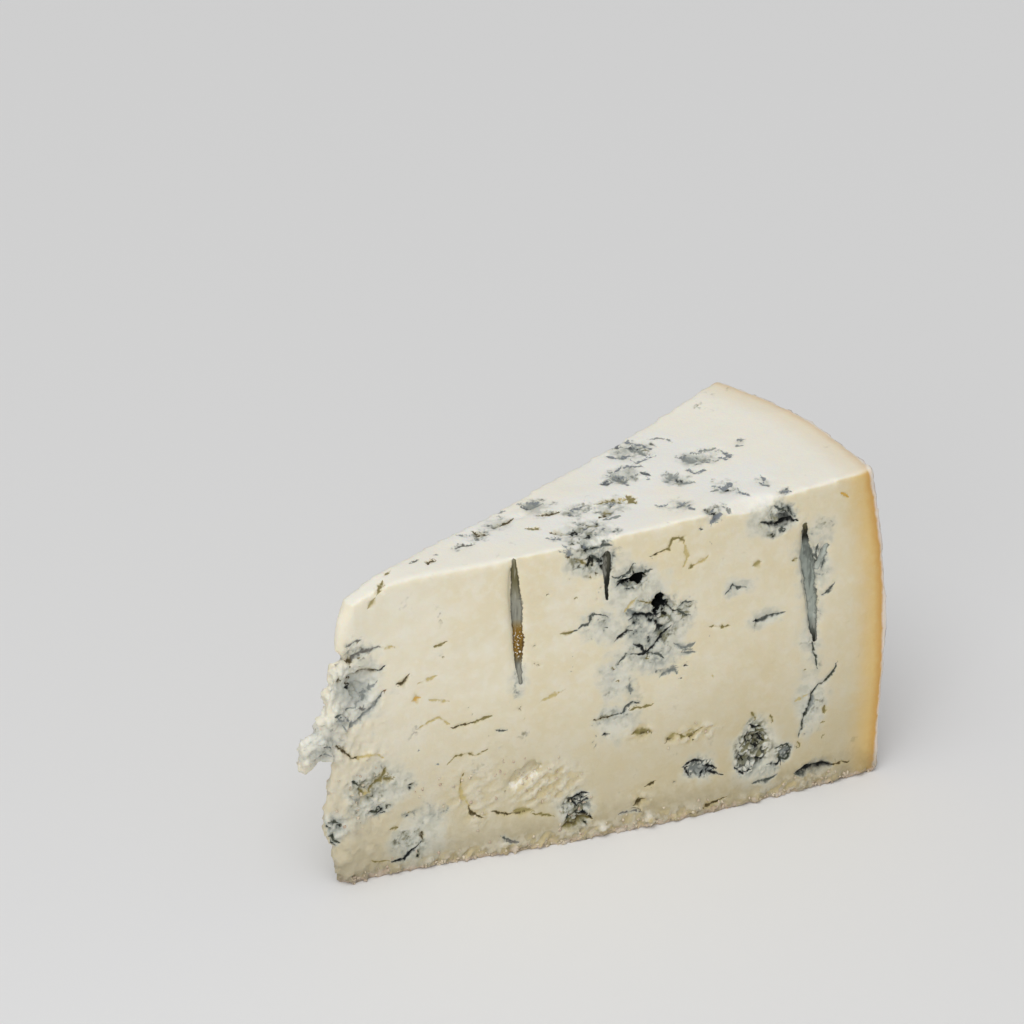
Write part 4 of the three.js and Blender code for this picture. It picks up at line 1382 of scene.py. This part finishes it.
# Colour, from the clean paste out to the darkest mould.
bleached = paste.mix(paste.rise(mottle + mould_share * 0.1, 0.46, 0.64), BLEACH_PALE, BLEACH_GREY)
felt_tone = patchy + uneven(speckle=0.6) + (felt_share - 0.75) * 0.5
felted = paste.mix(paste.rise(felt_tone, 0.36, 0.64), FELT_PALE, FELT_GREY)
oliveness = paste.rise(patchy + paste.value("olive") * 0.4, 0.5, 0.66)
mould_colour = paste.mix(oliveness, MOULD_BLUE, MOULD_OLIVE)
seam_colour = paste.mix(paste.rise(speckle, 0.45, 0.6), mould_colour, MOULD_BLACK_AND_SHADE)
mark_colour = paste.tone("mark_tint")
colour = paste.layered(
    PASTE_CREAM,
    [
        (paste.rise(broad, 0.4, 0.65), 0.4, PASTE_WARM),
        (paste.rise(patchy, 0.42, 0.66), 0.35, PASTE_PALE_AND_PAINTED_LIGHT),
        (paste.rise(speckle, 0.45, 0.7), 0.3, PASTE_PALE_AND_PAINTED_LIGHT),
        # Painted light and shade: the paste is painted paler towards the point and darker towards the
        # rind.
        (paste.fall(along, *POINTWARD_LIGHT_ALONG), 0.35, PASTE_PALE_AND_PAINTED_LIGHT),
        (paste.rise(along, *RINDWARD_SHADE_ALONG), 0.3, PAINTED_RINDWARD_SHADE),
        # Darker and yellower low down: partly the paste's own yellowing near the base, partly painted
        # shade.
        (paste.fall(height_up, *LOW_YELLOW_AND_SHADE_HEIGHT), 0.6, PASTE_LOW_YELLOW_AND_SHADE),
        # Painted light: every upward-facing surface is painted paler than the cuts.
        (on_top, 1, PASTE_PALE_AND_PAINTED_LIGHT),
        (paste.fall(depth_in, *YELLOW_DEPTH) * rind_strength, 0.8, RIND_YELLOW),
        (paste.fall(depth_in, *OCHRE_DEPTH) * rind_strength, 0.9, RIND_OCHRE),
        (paste.fall(depth_in, *BLOOM_DEPTH), 0.85, RIND_BLOOM),
        (crust_share, 1, crust),
        (bleach_share, 0.8, bleached),
        (frost_share, 0.9, TOP_FROST),
        (halo_share, 0.6, PASTE_HALO),
        # Painted shade: a darker band along the foot of the wedge, where it meets the floor.
        (paste.fall(base_up, *FOOT_SHADE_HEIGHT), 0.55, FOOT_PAINTED_SHADE),
        (paste.fall(base_up, *CRUST_HEIGHT), 0.7, BASE_CRUST),
        (whitened_and_lit, 0.35, PASTE_PALE_AND_PAINTED_LIGHT),
        (crease_shade, 0.5, CREASE_WARM_SHADE),
        (mark_rim, 0.5, paste.tone("rim_tint")),
        (felt_share, 0.85, felted),
        (seam_shade, 0.65, MOULD_SMOKE_AND_SEAM_SHADE),
        (smoke, 0.4, MOULD_SMOKE_AND_SEAM_SHADE),
        (blue, 0.7, mould_colour),
        (seam_line, 0.5, mould_colour),
        (seam_dark, 0.85, seam_colour),
        (hole, 0.95, MOULD_BLACK_AND_SHADE),
        (mark_line, 1, mark_colour),
        (mark_core, 1, mark_colour),
        (channel_in, 1, lining),
        (channel_rim_mould_and_shade, 0.55, MOULD_BLACK_AND_SHADE),
        (hollow_mould_and_shade, 1, MOULD_BLACK_AND_SHADE),
    ],
)

# Relief finer than the mesh, and the two shines: damp curd, and dark mould that gives none back.
smear = paste.grain(paste.stretched(place, SMEAR_STRETCH), SMEAR_PITCH, 2)
strands = (strand - abs(strand - 0.5) * 2) * paste.value("on_rind")
height = fine * 0.5 + smear * 0.5 + fine * torn_share + strands * 2 - hole * 0.8 - mark_line * 0.6
relief = {"Height": height, "Strength": RELIEF_STRENGTH, "Distance": RELIEF_DEPTH * MM}
bumped = paste.node("ShaderNodeBump", {}, relief, "Normal")
damp = paste.glossed(
    {
        "Base Color": colour,
        "Roughness": 0.42 + speckle * 0.25 + torn_share * 0.3,
        "Normal": bumped,
        "Subsurface Weight": GLOW_SHARE,
        "Subsurface Radius": GLOW_REACHES,
        "Subsurface Scale": GLOW_DEPTH * MM,
    }
)
dull = paste.glossed(
    {
        "Base Color": colour,
        "Roughness": DULL_ROUGHNESS,
        "Specular IOR Level": DULL_SHEEN,
        "Normal": bumped,
    }
)
shiny = (1 - mark_core * mark_dark) * (1 - hollow_mould_and_shade) * (1 - hole) * (1 - seam_dark)
shiny = shiny * (1 - channel_in * 0.8)
paste.show(paste.node("ShaderNodeMixShader", {}, {0: 1 - shiny, 1: damp, 2: dull}))
cheese.data.materials.append(paste.material)
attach(cheese, "root")
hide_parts("cheese_wedge")

# The crumbs: grains of curd that the wire broke loose, stuck along the foot, on the torn patches
# and down the rind's edges. Each is a soft, uneven lump pressed on the skin.
CRUMB_SEED = 7
CRUMBS_EACH_MM2 = 0.45
CRUMB_SMALL = 0.1
CRUMB_LARGE = 0.55
CRUMB_LUMPS = 1.3
CRUMB_LUMP_SIZE = 1.3
CRUMB_PALE = tint(222, 210, 186)
CRUMB_PINK = tint(200, 180, 160)
CRUMB_TONE_PITCH = 3.0
CRUMB_ROUGHNESS = 0.9
CRUMB_SHEEN = 0.2
EDGE_DEPTH = 2.5, 0.5
EDGE_TO_RIND = 1.2, 0.3
EDGE_CRUMBS = 0.6
TORN_CRUMBS = 0.3
CRUMBLY_FOOT = 2.6, 0.6


class Growth(Nodes):
    """A node group that grows small pieces on a surface."""

    def __init__(self, name, inputs):
        super().__init__(bpy.data.node_groups.new(name, "GeometryNodeTree"))
        face = self.tree.interface
        self.sockets = {}
        for label, kind in inputs.items():
            self.sockets[label] = face.new_socket(label, in_out="INPUT", socket_type=kind)
        face.new_socket("Geometry", in_out="OUTPUT", socket_type="NodeSocketGeometry")
        group_inputs = self.tree.nodes.new("NodeGroupInput").outputs
        self.given = {label: Wire(self, group_inputs[label]) for label in inputs}

    def grown_on(self, holder, values):
        """Runs the group on an object, with its inputs set, and keeps the result as plain mesh."""
        modifier = holder.modifiers.new("growth", "NODES")
        modifier.node_group = self.tree
        for label, value in values.items():
            modifier[self.sockets[label].identifier] = value
        seen = holder.evaluated_get(bpy.context.evaluated_depsgraph_get())
        mesh = bpy.data.meshes.new_from_object(seen)
        holder.modifiers.clear()
        holder.data = mesh


shaped_points = points_of(cheese.data)
cut_depth = np.minimum(on_front(shaped_points)[2], on_back(shaped_points)[2])
on_cut_edge = ease(cut_depth, *EDGE_DEPTH) * ease(np.abs(rind_depth), *EDGE_TO_RIND)
at_foot = ease(shaped_points[:, 2], *CRUMBLY_FOOT) * (normals[:, 2] > UNDERSIDE)
crumbly = np.maximum.reduce([at_foot, torn * TORN_CRUMBS, on_cut_edge * EDGE_CRUMBS])
keep_on(cheese.data, "crumbly", crumbly)

crumb_finish = Finish("curd crumbs")
crumb_place = crumb_finish.node("ShaderNodeTexCoord", {}, {}, "Object")
crumb_tone = crumb_finish.rise(crumb_finish.grain(crumb_place, CRUMB_TONE_PITCH, 3), 0.4, 0.65)
crumb_colour = crumb_finish.mix(crumb_tone, CRUMB_PALE, CRUMB_PINK)
crumb_gloss = {"Roughness": CRUMB_ROUGHNESS, "Specular IOR Level": CRUMB_SHEEN}
crumb_finish.show(crumb_finish.glossed({"Base Color": crumb_colour, **crumb_gloss}))

crumb_growth = Growth(
    "crumbs",
    {
        "Surface": "NodeSocketGeometry",
        "Density": "NodeSocketFloat",
        "Smallest": "NodeSocketFloat",
        "Largest": "NodeSocketFloat",
        "Seed": "NodeSocketInt",
        "Material": "NodeSocketMaterial",
    },
)
given = crumb_growth.given
share = crumb_growth.node("GeometryNodeInputNamedAttribute", {"data_type": "FLOAT"}, {"Name": "crumbly"})
spots = crumb_growth.node(
    "GeometryNodeDistributePointsOnFaces",
    {"distribute_method": "RANDOM"},
    {"Mesh": given["Surface"], "Density": share * given["Density"], "Seed": given["Seed"]},
)
ball = crumb_growth.node("GeometryNodeMeshIcoSphere", {}, {"Radius": 1.0, "Subdivisions": 2})
lumps = crumb_growth.node("ShaderNodeTexNoise", {}, {"Scale": CRUMB_LUMPS, "Detail": 3.0}, "Color")
centred = crumb_growth.node(
    "ShaderNodeVectorMath", {"operation": "SUBTRACT"}, {0: lumps, 1: (0.5, 0.5, 0.5)}
)
pushed = crumb_growth.node(
    "ShaderNodeVectorMath", {"operation": "SCALE"}, {0: centred, "Scale": 2 * CRUMB_LUMP_SIZE}
)
grain = crumb_growth.node("GeometryNodeSetPosition", {}, {"Geometry": ball, "Offset": pushed})
random_ranges = {
    "Scale": (given["Smallest"], given["Largest"]),
    "Rotation": ((0, 0, 0), (math.tau, math.tau, math.tau)),
}
chances = {}
for chance_name, (least, most) in random_ranges.items():
    limits = {"Min": least, "Max": most, "Seed": given["Seed"]}
    settings = {"data_type": "FLOAT_VECTOR"}
    chances[chance_name] = crumb_growth.node("FunctionNodeRandomValue", settings, limits, "Value")
placed = crumb_growth.node(
    "GeometryNodeInstanceOnPoints", {}, {"Points": spots, "Instance": grain, **chances}
)
loose = crumb_growth.node("GeometryNodeRealizeInstances", {}, {"Geometry": placed})
smoothed = crumb_growth.node("GeometryNodeSetShadeSmooth", {}, {"Geometry": loose})
painted = crumb_growth.node(
    "GeometryNodeSetMaterial", {}, {"Geometry": smoothed, "Material": given["Material"]}
)
crumb_growth.node("NodeGroupOutput", {}, {"Geometry": painted})
crumbs = bpy.data.objects.new("crumbs", cheese.data.copy())
scene.collection.objects.link(crumbs)
crumb_growth.grown_on(
    crumbs,
    {
        "Density": CRUMBS_EACH_MM2 / MM**2,
        "Smallest": CRUMB_SMALL * MM,
        "Largest": CRUMB_LARGE * MM,
        "Seed": CRUMB_SEED,
        "Material": crumb_finish.material,
    },
)
place_points(crumbs.data, points_of(crumbs.data))
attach(crumbs, "root")

# The studio: a plain pale floor under a wide soft light from above, with a weaker one at the side.
# These places and sizes are in metres.
FLOOR_HALF = 3.0
FLOOR_GREY = (0.8, 0.8, 0.8, 1)
FLOOR_ROUGHNESS = 0.7
SIDE_PLACE = (-0.45, -0.4, 0.34)
SIDE_AIM = (0, 0, 0.05)
SIDE_SIZE = 0.3
SIDE_POWER = 0.8
OVERHEAD_SIGHT = (0.35, 0.28, -1)
OVERHEAD_POWER = 1.3
OVERHEAD_SPREAD = math.radians(50)
SKY_WHITE = (1, 1, 1, 1)
SKY_STRENGTH = 0.4

floor_mesh = bpy.data.meshes.new("floor")
floor_sides = [(-1, -1), (1, -1), (1, 1), (-1, 1)]
floor_mesh.from_pydata([(x * FLOOR_HALF, y * FLOOR_HALF, 0) for x, y in floor_sides], [], [(0, 1, 2, 3)])
floor = bpy.data.objects.new("floor", floor_mesh)
scene.collection.objects.link(floor)
ground = Finish("pale floor")
ground.show(ground.glossed({"Base Color": FLOOR_GREY, "Roughness": FLOOR_ROUGHNESS}))
floor_mesh.materials.append(ground.material)


def aimed(name, data, place, sight):
    """A light or a camera at a place, facing along a line of sight."""
    holder = bpy.data.objects.new(name, data)
    holder.location = place
    holder.rotation_euler = Vector(sight).to_track_quat("-Z", "Y").to_euler()
    scene.collection.objects.link(holder)
    return holder


side = bpy.data.lights.new("side", "AREA")
side.size = SIDE_SIZE
side.energy = SIDE_POWER
aimed("side", side, SIDE_PLACE, Vector(SIDE_AIM) - Vector(SIDE_PLACE))
overhead = bpy.data.lights.new("overhead", "SUN")
overhead.energy = OVERHEAD_POWER
overhead.angle = OVERHEAD_SPREAD
aimed("overhead", overhead, (0, 0, 0), OVERHEAD_SIGHT)
world = bpy.data.worlds.new("studio")
world.use_nodes = True
sky = world.node_tree.nodes["Background"].inputs
sky["Color"].default_value = SKY_WHITE
sky["Strength"].default_value = SKY_STRENGTH
scene.world = world
scene.view_settings.view_transform = "Standard"

# The camera, at the angle of the photograph, in millimetres.
CAMERA_PLACE = Vector((-451.7, -641.3, 496))
CAMERA_AIM = Vector((32.65, 77.05, 45))
CAMERA_LENS = 120
CAMERA_SENSOR = 36
lens = bpy.data.cameras.new("camera")
lens.lens = CAMERA_LENS
lens.sensor_width = CAMERA_SENSOR
scene.camera = aimed("camera", lens, CAMERA_PLACE * MM, CAMERA_AIM - CAMERA_PLACE)
